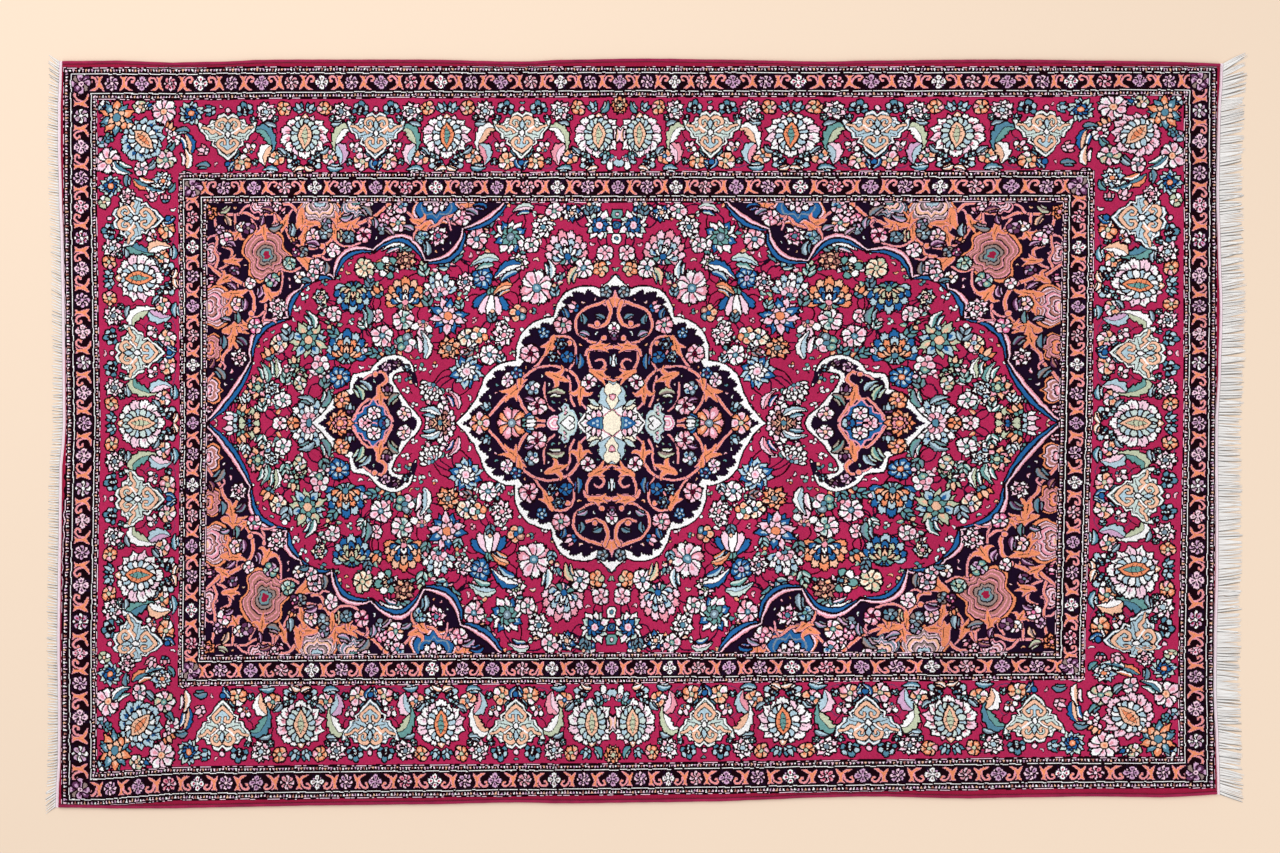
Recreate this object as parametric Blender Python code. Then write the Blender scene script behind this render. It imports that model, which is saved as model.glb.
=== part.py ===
"""A hand-knotted Persian rug lying flat.

Seven pieces: the knotted pile, an overcast cord along each long side, a flat-woven strip at each
short end, and beyond each strip a fringe of warp ends.  X runs along the rug, Y across it, and the
underside of every piece lies at Z = 0.
"""

import math
import random
from collections import namedtuple

import bmesh
import bpy

# Driving dimensions, in metres
PILE_LENGTH = 2.080
RUG_WIDTH = 1.336
PILE_HEIGHT = 0.0085
PILE_SIDE_HEIGHT = 0.0055
PILE_ROUNDING = 0.004
PILE_RIPPLE = 0.0005
RIPPLE_LENGTH = 0.31
SELVEDGE_WIDTH = 0.0065
SELVEDGE_HEIGHT = 0.0065
SELVEDGE_SIDES = 8
KILIM_WIDTH = 0.0055
KILIM_THICKNESS = 0.003
KILIM_ROUNDING = 0.0008
GAP = 0.0003

# Even stations at which every edge bends, so that neighbouring pieces run side by side
STATIONS_ALONG = 42
STATIONS_ACROSS = 35

# Fringe: each strand is a flat bundle of warp ends
STRANDS_PER_BLOCK = 4
STRANDS_PER_END = STRANDS_PER_BLOCK * STATIONS_ACROSS
STRAND_SHARE = 0.60
STRAND_TIP_WIDTH = 0.0026
STRAND_THICKNESS = 0.0022
STRAND_TIP_THICKNESS = 0.0012
STRAND_PARTS = 3
STRAND_WANDER = 0.0026
BACKING_WIDTH = 0.003
LEFT_FRINGE_LENGTH = 0.018
RIGHT_FRINGE_LENGTH = 0.041
FRINGE_UNEVENNESS = 0.10

# The long edges, a row for each section along the rug: their distance from the middle line
LongSection = namedtuple("LongSection", "at upper lower")
LONG_EDGES = (
    LongSection(-1.040, 0.6669, -0.6786),
    LongSection(-0.936, 0.6678, -0.6804),
    LongSection(-0.846, 0.6642, -0.6804),
    LongSection(-0.756, 0.6660, -0.6786),
    LongSection(-0.666, 0.6696, -0.6768),
    LongSection(-0.576, 0.6696, -0.6750),
    LongSection(-0.396, 0.6696, -0.6732),
    LongSection(-0.216, 0.6660, -0.6696),
    LongSection(-0.126, 0.6696, -0.6714),
    LongSection(0.009, 0.6714, -0.6696),
    LongSection(0.144, 0.6696, -0.6678),
    LongSection(0.234, 0.6678, -0.6642),
    LongSection(0.324, 0.6660, -0.6606),
    LongSection(0.414, 0.6678, -0.6588),
    LongSection(0.594, 0.6696, -0.6624),
    LongSection(0.684, 0.6696, -0.6606),
    LongSection(0.819, 0.6678, -0.6588),
    LongSection(0.954, 0.6660, -0.6606),
    LongSection(1.040, 0.6624, -0.6552),
)

# The short ends, a row for each section across the rug
ShortSection = namedtuple("ShortSection", "at left right")
SHORT_ENDS = (
    ShortSection(-0.657, -1.0476, 1.0395),
    ShortSection(-0.574, -1.0436, 1.0373),
    ShortSection(-0.484, -1.0433, 1.0330),
    ShortSection(-0.376, -1.0449, 1.0341),
    ShortSection(-0.268, -1.0438, 1.0366),
    ShortSection(-0.160, -1.0420, 1.0368),
    ShortSection(-0.052, -1.0408, 1.0359),
    ShortSection(0.002, -1.0345, 1.0359),
    ShortSection(0.110, -1.0354, 1.0415),
    ShortSection(0.218, -1.0363, 1.0444),
    ShortSection(0.326, -1.0382, 1.0409),
    ShortSection(0.434, -1.0415, 1.0379),
    ShortSection(0.515, -1.0436, 1.0395),
    ShortSection(0.596, -1.0433, 1.0413),
    ShortSection(0.650, -1.0408, 1.0453),
)

# How far the strands lean towards +Y, in degrees, a row for each section across the rug
FringeSection = namedtuple("FringeSection", "at left right")
FRINGE_LEAN = (
    FringeSection(-0.668, -38.0, -26.0),
    FringeSection(-0.620, -14.0, -10.0),
    FringeSection(-0.450, 6.0, -4.0),
    FringeSection(-0.250, 9.0, 5.0),
    FringeSection(0.000, -4.0, -3.0),
    FringeSection(0.250, 24.0, 8.0),
    FringeSection(0.450, 10.0, 7.0),
    FringeSection(0.600, 16.0, 12.0),
    FringeSection(0.668, 38.0, 32.0),
)


def clear_scene():
    for obj in list(bpy.data.objects):
        bpy.data.objects.remove(obj, do_unlink=True)


def lookup(table, column, at):
    """The column's value at a place between two rows, eased so that the edge has no kinks."""
    if at <= table[0].at:
        return getattr(table[0], column)
    for low, high in zip(table, table[1:]):
        if at <= high.at:
            share = (at - low.at) / (high.at - low.at)
            eased = share * share * (3.0 - 2.0 * share)
            return getattr(low, column) * (1.0 - eased) + getattr(high, column) * eased
    return getattr(table[-1], column)


def edge(table, column, share, stations, side):
    """An edge at a share of its side: straight between one station and the next."""
    first = min(int(share * stations), stations - 1)
    near, far = (lookup(table, column, ((first + i) / stations - 0.5) * side) for i in (0, 1))
    return near + (far - near) * (share * stations - first)


def plan(along, across):
    """The rug's plan: along and across run from 0 to 1 between its uneven edges."""
    left = edge(SHORT_ENDS, "left", across, STATIONS_ACROSS, RUG_WIDTH)
    right = edge(SHORT_ENDS, "right", across, STATIONS_ACROSS, RUG_WIDTH)
    lower = edge(LONG_EDGES, "lower", along, STATIONS_ALONG, PILE_LENGTH)
    upper = edge(LONG_EDGES, "upper", along, STATIONS_ALONG, PILE_LENGTH)
    return left + (right - left) * along, lower + (upper - lower) * across


def make_material(name, colour, roughness):
    material = bpy.data.materials.new(name)
    material.use_nodes = True
    shader = material.node_tree.nodes["Principled BSDF"]
    shader.inputs["Base Color"].default_value = (*colour, 1.0)
    shader.inputs["Roughness"].default_value = roughness
    shader.inputs["Metallic"].default_value = 0.0
    return material


def add_object(name, points, faces, material):
    """A mesh object whose faces point out."""
    mesh = bpy.data.meshes.new(name)
    mesh.from_pydata(points, [], faces)
    mesh.materials.append(material)
    shape = bmesh.new()
    shape.from_mesh(mesh)
    bmesh.ops.recalc_face_normals(shape, faces=shape.faces)
    shape.to_mesh(mesh)
    shape.free()
    obj = bpy.data.objects.new(name, mesh)
    bpy.context.scene.collection.objects.link(obj)
    return obj


def loft(name, rings, material):
    """A closed bar through rings of as many points each, capped at both ends."""
    sides = len(rings[0])
    points = [point for ring in rings for point in ring]
    faces = [tuple(range(sides)), tuple(len(points) - sides + i for i in range(sides))]
    for row in range(len(rings) - 1):
        for i in range(sides):
            j = (i + 1) % sides
            near, far = row * sides, (row + 1) * sides
            faces.append((near + i, near + j, far + j, far + i))
    return add_object(name, points, faces, material)


def steps(count):
    return [i / count for i in range(count + 1)]


# The knotted pile

def grid_shares(side, stations, margin):
    """Shares of a side for the grid's lines: at its stations, and closer at the rounded rim."""
    near = [margin + PILE_ROUNDING / side * rim for rim in (0.0, 0.15, 0.5, 1.0)]
    inner = steps(stations)[1:-1]
    return near + inner + [1.0 - share for share in reversed(near)]


def pile_height(x, y, edge_distance):
    """The height of the cut pile: rounded at the edges, and a little uneven within them."""
    share = min(edge_distance / PILE_ROUNDING, 1.0)
    rounded = math.sqrt(max(0.0, 1.0 - (1.0 - share) ** 2))
    wave = 2.0 * math.pi / RIPPLE_LENGTH
    ripple = PILE_RIPPLE * math.sin(wave * x + 0.8 * math.sin(wave * y)) * math.cos(0.7 * wave * y)
    return PILE_SIDE_HEIGHT + (PILE_HEIGHT - PILE_SIDE_HEIGHT + ripple) * rounded


def make_pile(material):
    cord_share = (SELVEDGE_WIDTH + GAP) / RUG_WIDTH
    columns = grid_shares(PILE_LENGTH, STATIONS_ALONG, 0.0)
    rows = grid_shares(RUG_WIDTH, STATIONS_ACROSS, cord_share)
    points = []
    for along in columns:
        for across in rows:
            x, y = plan(along, across)
            to_end = min(along, 1.0 - along) * PILE_LENGTH
            to_side = (min(across, 1.0 - across) - cord_share) * RUG_WIDTH
            points.append((x, y, pile_height(x, y, min(to_end, to_side))))
    top_count = len(points)
    points += [(x, y, 0.0) for x, y, _ in points]

    def index(column, row):
        return column * len(rows) + row

    faces = []
    last_column, last_row = len(columns) - 1, len(rows) - 1
    for column in range(last_column):
        for row in range(last_row):
            corners = (
                index(column, row), index(column + 1, row),
                index(column + 1, row + 1), index(column, row + 1),
            )
            faces.append(corners)
            faces.append(tuple(top_count + corner for corner in reversed(corners)))
    rim = [index(column, 0) for column in range(last_column)]
    rim += [index(last_column, row) for row in range(last_row)]
    rim += [index(column, last_row) for column in range(last_column, 0, -1)]
    rim += [index(0, row) for row in range(last_row, 0, -1)]
    for corner, following in zip(rim, rim[1:] + rim[:1]):
        faces.append((corner, following, top_count + following, top_count + corner))
    return add_object("pile", points, faces, material)


# The overcast cords along the long sides

def cord_ring(x, middle_y):
    """A flattened round whose lowest side lies on the floor."""
    flat = math.cos(math.pi / SELVEDGE_SIDES)
    ring = []
    for i in range(SELVEDGE_SIDES):
        angle = 2.0 * math.pi * (i + 0.5) / SELVEDGE_SIDES
        y = middle_y + 0.5 * SELVEDGE_WIDTH * math.cos(angle) / flat
        z = 0.5 * SELVEDGE_HEIGHT * (1.0 + math.sin(angle) / flat)
        ring.append((x, y, max(z, 0.0)))
    return ring


def make_selvedge(name, across, inward, material):
    rings = []
    for along in steps(STATIONS_ALONG):
        x, edge_y = plan(along, across)
        rings.append(cord_ring(x, edge_y + inward * 0.5 * SELVEDGE_WIDTH))
    return loft(name, rings, material)


# The flat-woven strips at the short ends

def make_kilim(name, along, outward, material):
    """The strip's section stands on the floor and has eased upper corners."""
    near, far = GAP, GAP + KILIM_WIDTH
    shoulder = KILIM_THICKNESS - KILIM_ROUNDING
    section = (
        (near, 0.0), (far, 0.0), (far, shoulder), (far - KILIM_ROUNDING, KILIM_THICKNESS),
        (near + KILIM_ROUNDING, KILIM_THICKNESS), (near, shoulder),
    )
    rings = []
    for across in steps(STATIONS_ACROSS):
        x, y = plan(along, across)
        rings.append([(x + outward * out, y, z) for out, z in section])
    return loft(name, rings, material)


# The fringes

def strand_sections(root_y, root_width, length, lean, wander):
    """Centre, half width vector and thickness of each section of a strand, root left out."""
    sections = []
    for part in range(1, STRAND_PARTS + 1):
        share = part / STRAND_PARTS
        out = length * share
        aside = math.tan(lean) * out + wander * share * share
        slope = math.atan(math.tan(lean) + 2.0 * wander * share / length)
        half = 0.5 * (root_width + (STRAND_TIP_WIDTH - root_width) * share)
        thickness = STRAND_THICKNESS + (STRAND_TIP_THICKNESS - STRAND_THICKNESS) * share
        side = (-math.sin(slope) * half, math.cos(slope) * half)
        sections.append((out, root_y + aside, side, thickness))
    return sections


def make_fringe(name, along, outward, lean_column, length, seed, material):
    """A narrow backing strip whose front carries the strands, each grown from its own face."""
    draw = random.Random(seed)
    inner = GAP + KILIM_WIDTH + GAP
    outer = inner + BACKING_WIDTH
    pitch = 1.0 / STRANDS_PER_END
    points, faces = [], []

    def add(x, y, z):
        points.append((x, y, z))
        return len(points) - 1

    def post(across, reach):
        """The lower and upper point of the strip's face at one place."""
        x, y = plan(along, across)
        x += outward * reach
        return add(x, y, 0.0), add(x, y, STRAND_THICKNESS)

    def grow(low_post, high_post):
        """A strand from the face between two posts of the strip's front."""
        x, low_y, _ = points[low_post[0]]
        high_x, high_y, _ = points[high_post[0]]
        root_x, root_y = 0.5 * (x + high_x), 0.5 * (low_y + high_y)
        lean = math.radians(lookup(FRINGE_LEAN, lean_column, root_y))
        reach = (length - BACKING_WIDTH) * (1.0 + FRINGE_UNEVENNESS * draw.uniform(-1.0, 1.0))
        wander = STRAND_WANDER * draw.uniform(-1.0, 1.0)
        ring = (low_post[0], high_post[0], high_post[1], low_post[1])
        for out, y, side, thickness in strand_sections(root_y, high_y - low_y, reach, lean, wander):
            low = (root_x + outward * (out - side[0]), y - side[1])
            high = (root_x + outward * (out + side[0]), y + side[1])
            following = (
                add(*low, 0.0), add(*high, 0.0), add(*high, thickness), add(*low, thickness),
            )
            for i in range(4):
                j = (i + 1) % 4
                faces.append((ring[i], ring[j], following[j], following[i]))
            ring = following
        faces.append(ring)

    back = post(0.0, inner)
    front = [post(0.0, outer)]
    faces.append((back[0], back[1], front[0][1], front[0][0]))
    for block in range(STATIONS_ACROSS):
        front = front[-1:]
        for strand in range(STRANDS_PER_BLOCK):
            start = (block * STRANDS_PER_BLOCK + strand) * pitch
            margin = 0.5 * (1.0 - STRAND_SHARE) * pitch
            front.append(post(start + margin, outer))
            front.append(post(start + pitch - margin, outer))
            grow(front[-2], front[-1])
        front.append(post((block + 1) * STRANDS_PER_BLOCK * pitch, outer))
        for left, right in gaps_between(front):
            faces.append((left[0], right[0], right[1], left[1]))
        following = post((block + 1) * STRANDS_PER_BLOCK * pitch, inner)
        faces.append((back[0], following[0], following[1], back[1]))
        for level in (0, 1):
            faces.append((back[level], *[pair[level] for pair in front], following[level]))
        back = following
    faces.append((back[0], back[1], front[-1][1], front[-1][0]))
    return add_object(name, points, faces, material)


def gaps_between(front):
    """Pairs of neighbouring posts with no strand between them, along one block of the strip."""
    pairs = [(front[0], front[1])]
    for strand in range(1, STRANDS_PER_BLOCK):
        pairs.append((front[2 * strand], front[2 * strand + 1]))
    pairs.append((front[-2], front[-1]))
    return pairs


def centre_on_floor(objects):
    """Moves the pieces together, so that the middle of their common box is over the origin."""
    corners = [vertex.co for obj in objects for vertex in obj.data.vertices]
    middle_x = 0.5 * (min(co.x for co in corners) + max(co.x for co in corners))
    middle_y = 0.5 * (min(co.y for co in corners) + max(co.y for co in corners))
    for co in corners:
        co.x -= middle_x
        co.y -= middle_y


def main():
    clear_scene()
    wool = make_material("knotted_wool", (0.45, 0.02, 0.08), 0.85)
    overcast = make_material("overcast_wool", (0.40, 0.02, 0.06), 0.85)
    weave = make_material("flat_weave", (0.80, 0.70, 0.70), 0.9)
    cotton = make_material("warp_cotton", (0.82, 0.80, 0.77), 0.9)
    pieces = [
        make_pile(wool),
        make_selvedge("selvedge_upper", 1.0, -1.0, overcast),
        make_selvedge("selvedge_lower", 0.0, 1.0, overcast),
        make_kilim("kilim_left", 0.0, -1.0, weave),
        make_kilim("kilim_right", 1.0, 1.0, weave),
        make_fringe("fringe_left", 0.0, -1.0, "left", LEFT_FRINGE_LENGTH, 3, cotton),
        make_fringe("fringe_right", 1.0, 1.0, "right", RIGHT_FRINGE_LENGTH, 8, cotton),
    ]
    centre_on_floor(pieces)


main()
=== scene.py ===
import math

import bpy
import numpy as np
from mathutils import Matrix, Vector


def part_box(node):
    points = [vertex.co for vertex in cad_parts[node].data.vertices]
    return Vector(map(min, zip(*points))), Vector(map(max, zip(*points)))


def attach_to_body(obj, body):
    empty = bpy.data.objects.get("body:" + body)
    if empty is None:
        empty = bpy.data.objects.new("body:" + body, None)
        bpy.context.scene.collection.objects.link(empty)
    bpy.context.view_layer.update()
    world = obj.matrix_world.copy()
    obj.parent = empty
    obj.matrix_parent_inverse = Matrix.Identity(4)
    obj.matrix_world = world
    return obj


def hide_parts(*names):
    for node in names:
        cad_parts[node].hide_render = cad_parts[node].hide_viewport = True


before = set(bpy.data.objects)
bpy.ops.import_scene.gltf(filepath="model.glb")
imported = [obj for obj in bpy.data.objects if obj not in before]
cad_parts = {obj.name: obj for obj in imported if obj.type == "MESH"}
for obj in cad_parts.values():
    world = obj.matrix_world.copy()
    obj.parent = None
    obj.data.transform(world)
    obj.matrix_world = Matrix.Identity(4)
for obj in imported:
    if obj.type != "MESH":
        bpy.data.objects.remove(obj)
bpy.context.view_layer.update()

# Dyes of the wool, as sRGB colours out of 255, and a letter for each
DYES = {
    "crimson": (182, 40, 86),
    "ink": (22, 0, 8),
    "navy": (25, 6, 34),
    "orange": (244, 148, 106),
    "apricot": (249, 196, 166),
    "salmon": (241, 158, 176),
    "pink": (253, 214, 232),
    "ivory": (255, 253, 255),
    "ice": (184, 210, 224),
    "blue": (38, 102, 164),
    "teal": (88, 138, 162),
    "green": (110, 162, 160),
    "sage": (200, 208, 180),
    "lilac": (216, 172, 208),
    "mauve": (104, 56, 96),
    "grey": (158, 136, 132),
    "slate": (122, 142, 158),
    "maroon": (98, 12, 44),
    "mint": (208, 224, 220),
    "rose": (236, 120, 166),
    "dusty": (186, 124, 116),
    "madder": (160, 28, 64),
    "cream": (255, 244, 222),
    "corner": (60, 104, 168),
    "corner light": (140, 170, 210),
}
LETTERS = "RKNOCSPIABTGYLMEZDVFWXHQU"
R, K, N, O, C, S, P, I, A, B, T, G, Y, L, M, E, Z, D, V, F, W, X, H, Q, U = range(len(DYES))
DARK_DYES = (K, D, N)
# The dye of the spot in a petal, by the petal's own dye
SPOTS = {I: P, P: S, C: O, O: C, A: B, Z: A, T: A, G: Y, S: P, B: A, V: G, Y: C, W: C, F: P, M: L, L: M,
         H: C, U: Q}

# The chart covers one quarter of the rug, from its middle outwards, in points of 1.8 mm
CHART_LENGTH = 552
CHART_WIDTH = 368
PER_POINT = 3
chart = np.full((CHART_WIDTH * PER_POINT, CHART_LENGTH * PER_POINT), X, np.uint8)
# Lines between the bands, in points from the rug's middle: the long sides, then the short ends
SIDE_LINES = (220.0, 227.5, 244.5, 252.0, 325.5, 333.0, 349.5, 357.0, 364.0)
END_LINES = (404.0, 411.5, 427.0, 433.5, 514.0, 521.0, 538.5, 547.8, 549.0)
FIELD_LENGTH, FIELD_WIDTH = END_LINES[0], SIDE_LINES[0]
FIELD_CORNER = complex(FIELD_LENGTH, FIELD_WIDTH)

# Widths of the dark rims round shapes, and the steps of a round stretch
RIM = 1.4
FINE_RIM = 0.9
ARC_PARTS = 12
# By how much the flowers of the tables are scaled in the field, the spandrels and the main border
FIELD_SCALE, SPANDREL_SCALE, BORDER_SCALE = 1.05, 0.86, 0.84


def window(low, high):
    """The chart's rows and columns between two corners, as slices, with their places."""
    slices, places = [], []
    for first, last, size in zip((low.imag, low.real), (high.imag, high.real), chart.shape):
        start = max(int(math.floor(first * PER_POINT)), 0)
        stop = min(int(math.ceil(last * PER_POINT)) + 1, size)
        if stop <= start:
            return None
        slices.append(slice(start, stop))
        places.append((np.arange(start, stop) + 0.5) / PER_POINT)
    return tuple(slices), places[1], places[0]


def fill(outline, dye):
    """Dye what lies inside a closed outline, by the crossings to the right of each place."""
    outline = np.asarray(outline, complex)
    low = complex(outline.real.min(), outline.imag.min())
    found = window(low, complex(outline.real.max(), outline.imag.max()))
    if not found:
        return
    where, xs, ys = found
    mask = np.zeros((len(ys), len(xs)), bool)
    for p, q in zip(outline, np.roll(outline, -1)):
        if p.imag > q.imag:
            p, q = q, p
        first, last = np.searchsorted(ys, (p.imag, q.imag))
        if last > first:
            cross = p.real + (ys[first:last] - p.imag) * (q.real - p.real) / (q.imag - p.imag)
            mask[first:last] ^= xs[None, :] < cross[:, None]
    chart[where][mask] = dye


def stroke(points, dye, width):
    """A line along points. The width may be a pair, from its start to its end."""
    points = np.asarray(points, complex)
    first, last = (width, width) if np.ndim(width) == 0 else width
    halves = np.linspace(first, last, len(points)) / 2
    for p, q, half, next_half in zip(points, points[1:], halves, halves[1:]):
        reach = max(half, next_half) * (1+1j)
        low = complex(min(p.real, q.real), min(p.imag, q.imag)) - reach
        high = complex(max(p.real, q.real), max(p.imag, q.imag)) + reach
        found = window(low, high)
        if not found:
            continue
        where, xs, ys = found
        away = (xs[None, :] + 1j * ys[:, None]) - p
        step = q - p
        along = np.clip((away * step.conjugate()).real / max(abs(step) ** 2, 1e-9), 0, 1)
        mask = abs(away - along * step) < half + (next_half - half) * along
        chart[where][mask] = dye


def smooth(points, closed=False, parts=5):
    """A rounded curve through points."""
    p = np.asarray(points, complex)
    if closed:
        p = np.concatenate([p[-1:], p, p[:2]])
    else:
        p = np.concatenate([p[:1], p, p[-1:]])
    t = np.arange(parts)[None, :] / parts
    a, b, c, d = (p[i:len(p) - 3 + i, None] for i in range(4))
    curve = 2 * b + (c - a) * t + (2 * a - 5 * b + 4 * c - d) * t ** 2 + (3 * b - a - 3 * c + d) * t ** 3
    curve = 0.5 * curve.ravel()
    return curve if closed else np.append(curve, p[-1])


def arcs(*stops):
    """A line of round stretches between places. Each bulges to its right by a share of its length."""
    t = np.arange(ARC_PARTS) / ARC_PARTS
    parts = [p + (q - p) * (t - 4j * bulge * t * (1 - t)) for (p, bulge), (q, _) in zip(stops, stops[1:])]
    return np.append(np.concatenate(parts), stops[-1][0])


def way(degrees):
    """The direction at an angle, as a complex number."""
    return np.exp(1j * np.radians(degrees))


def pose(at, turn=0.0, size=1.0):
    """A function that takes points drawn round 0 to a place, turned by degrees and scaled."""
    return lambda points: at + size * way(turn) * np.asarray(points, complex)


def shape(outline, dye, rim=K, width=RIM):
    """A filled outline. A dark rim lies round the filling, a light one on its edge."""
    closed = np.append(outline, outline[:1])
    if rim in DARK_DYES:
        stroke(closed, rim, 2 * width)
    fill(outline, dye)
    if rim is not None and rim not in DARK_DYES:
        stroke(closed, rim, width)


def disc(middle, radius, dye, rim=None, width=RIM):
    shape(middle + radius * way(22.5 * np.arange(16)), dye, rim, width)


# Motifs

# Half outlines of a petal, as shares of its length and of its half width
POINTED = ((0, 0.25), (0.3, 0.8), (0.52, 1), (0.75, 0.8), (0.84, 0.4), (1.06, 0))
BLUNT = ((0, 0.2), (0.35, 0.7), (0.66, 1), (0.92, 0.86), (0.9, 0.5), (1.05, 0.3), (1.0, 0))


def petal(foot, tip, width, dye, spot=None, blunt=False):
    """A petal from its foot to its tip, pointed or blunt, with a spot in it."""
    axis = tip - foot
    side = 0.5j * width * axis / abs(axis)
    steps = BLUNT if blunt else POINTED
    half = [along * axis + out * side for along, out in steps]
    other = [along * axis - out * side for along, out in steps[-2::-1]]
    outline = np.array(half + other)
    shape(foot + outline, dye)
    if spot is not None:
        fill(foot + 0.2 * axis + outline * 0.5, spot)


def whorl(at, low, high, count, width, dyes, turn=0.0, spotted=False, blunt=False):
    """Petals all round a middle, from low to high, a little uneven as woven by hand."""
    for i in range(count):
        out = way(turn + 360 * i / count + 5 * math.sin(2.6 * i + turn))
        reach = high * (1 + 0.08 * math.sin(4.1 * i + at.real))
        dye = dyes[i % len(dyes)]
        spot = SPOTS.get(dye) if spotted else None
        petal(at + low * out, at + reach * out, width, dye, spot, blunt)


def fan(foot, low, high, angles, width, dyes, turn, spotted=False, blunt=False):
    """Petals on both sides of a direction, the outermost first, shorter to the sides."""
    for i, angle in enumerate(angles):
        dye = dyes[i % len(dyes)]
        spot = SPOTS.get(dye) if spotted else None
        reach = high * (1 - 0.0028 * angle)
        for side in ((1, -1) if angle else (1,)):
            out = way(turn + side * angle)
            petal(foot + low * out, foot + reach * out, width, dye, spot, blunt)


def dyes_of(letters):
    """The dyes that letters stand for."""
    return [LETTERS.index(letter) for letter in letters]


def rosette(at, size, turn, letters):
    """Blunt petals round a heart: five in a small one, up to nine in a large one."""
    *outer, heart = dyes_of(letters)
    count = int(min(5 + max(0, size - 5) / 1.5, 10))
    if size > 8:
        whorl(at, 0.3 * size, 1.02 * size, count, 0.3 * size, (G, Y, T), turn + 180 / count)
    disc(at, 0.5 * size, K)
    whorl(at, 0.16 * size, size, count, 1.7 * size * math.sin(math.pi / count), outer, turn, size > 6, True)
    disc(at, 0.25 * size, heart, K, FINE_RIM)
    if size > 7:
        disc(at, 0.11 * size, SPOTS.get(heart, K))


def star(at, size, turn, letters):
    """Pointed petals round a heart."""
    *outer, heart = dyes_of(letters)
    count = int(min(6 + max(0, size - 6) / 2, 10))
    width = 1.35 * size * math.sin(math.pi / count)
    whorl(at, 0.3 * size, 0.94 * size, count, 0.7 * width, outer[1:], turn + 180 / count)
    whorl(at, 0.1 * size, size, count, width, outer[:2], turn, size > 7)
    whorl(at, 0.1 * size, 0.5 * size, 6, 0.3 * size, outer[-1:], turn)
    disc(at, 0.22 * size, heart, K, FINE_RIM)


def dahlia(at, size, turn, letters):
    """A ring of many pointed petals, a ring of blunt ones and a heart."""
    outer, other, inner, heart = dyes_of(letters)
    whorl(at, 0.25 * size, size, 12, 0.46 * size, (outer, outer, other), turn, True)
    whorl(at, 0.1 * size, 0.56 * size, 8, 0.36 * size, (inner,), turn)
    disc(at, 0.24 * size, heart, K, FINE_RIM)
    disc(at, 0.1 * size, SPOTS.get(heart, K))


def lotus(at, size, turn, letters):
    """A flower seen from the side: two fans of petals over a cup."""
    back, other, front, heart, cup = dyes_of(letters)
    foot = at - 0.42 * size * way(turn)
    rows = size > 10
    fan(foot, 0.2 * size, 0.8 * size, (165, 138, 114)[:1 + 2 * rows], 0.36 * size, (cup, other, G), turn)
    fan(foot, 0.3 * size, 1.4 * size, (92, 69, 46, 23, 0)[::2 - rows], (0.68 - 0.24 * rows) * size,
        (back, other), turn, rows, True)
    if rows:
        fan(foot, 0.2 * size, 0.98 * size, (80, 54, 27, 0), 0.34 * size, (front, other), turn, True, True)
    fan(foot, 0.1 * size, 0.66 * size, (64, 32, 0), 0.26 * size, (heart, front), turn)
    petal(foot, foot + 0.5 * size * way(turn), 0.26 * size, heart, K)
    disc(foot, 0.15 * size, cup, K, FINE_RIM)


def peony(at, size, turn, letters):
    """A half-open flower of narrow blunt petals that curl over a row of round ones."""
    back, other, low, heart = dyes_of(letters)
    foot = at - 0.5 * size * way(turn)
    rows = size > 10
    fan(foot, 0.2 * size, 1.45 * size, (75, 50, 25, 0)[1 - rows::2 - rows], (0.6 - 0.2 * rows) * size,
        (back, other), turn, rows, True)
    if rows:
        fan(foot, 0.1 * size, 0.95 * size, (60, 35, 10), 0.27 * size, (other, back), turn, False, True)
    for i, angle in enumerate((-80, -40, 0, 40, 80)):
        disc(foot + 0.36 * size * way(turn + angle), 0.18 * size, (low, heart)[i % 2], K, FINE_RIM)
    disc(foot - 0.06 * size * way(turn), 0.16 * size, T, K, FINE_RIM)


def tulip(at, size, turn, letters):
    """A striped flower of long petals side by side."""
    outer, second, middle, cup = dyes_of(letters)
    foot = at - 0.8 * size * way(turn)
    fan(foot, 0.3 * size, 1.8 * size, (40, 20, 0), 0.5 * size, (outer, second, middle), turn, False, True)
    fan(foot, 0.0, 0.5 * size, (80, 30), 0.3 * size, (cup, G), turn)


def blade(spine, width, teeth=0):
    """Both sides of a pointed leaf along a spine, as offsets. Its edge may have teeth."""
    share = np.linspace(0, 1, len(spine))
    step = np.gradient(spine)
    half = 0.5j * width * step / np.maximum(abs(step), 1e-6) * np.sin(np.pi * share ** 0.75)
    return half * (1 + (0.15 if teeth else 0) - 0.45 * (share * teeth % 1))


def leaf(points, width, dye, other=None, rim=K, line=RIM, teeth=0):
    """A leaf whose halves are in two dyes, with a dark rib if it is wide."""
    spine = smooth(points, parts=8)
    half = blade(spine, width, teeth)
    left, right = spine + half, spine - half
    if rim is not None:
        stroke(np.concatenate([left, right[::-1], left[:1]]), rim, 2 * line)
    fill(np.concatenate([left, spine[::-1]]), dye)
    fill(np.concatenate([spine, right[::-1]]), dye if other is None else other)
    if width > 6:
        stroke(spine[1:-2], K, 0.7)


def leaf_pair(at, size, turn, letters):
    """A long bent leaf with a smaller one in its hollow."""
    one, two, three = dyes_of(letters)
    z = pose(at, turn, size)
    leaf(z([-0.55-0.55j, 0.1-0.42j, 0.8-0.6j]), 0.36 * size, three, one)
    long_spine = z([-1.05-0.22j, -0.35+0.12j, 0.35+0.12j, 1.15-0.16j])
    leaf(long_spine, 0.66 * size, one, two, teeth=5 if size > 6.5 else 0)


def sprig(at, size, turn, letters):
    """A short stem with leaves in pairs and a bud at its end."""
    one, two, tip = dyes_of(letters)
    z = pose(at, turn, size)
    stroke(z(smooth([-1.0, 0.1j, 0.8])), K, 1.0)
    for side in (1, -1):
        leaf(z([-0.5, -0.2 + 0.32j * side, 0.25 + 0.62j * side]), 0.4 * size, one, two)
        leaf(z([0.1, 0.36 + 0.2j * side, 0.72 + 0.42j * side]), 0.3 * size, two, one)
    disc(z(0.9), 0.22 * size, tip, K, FINE_RIM)


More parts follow.
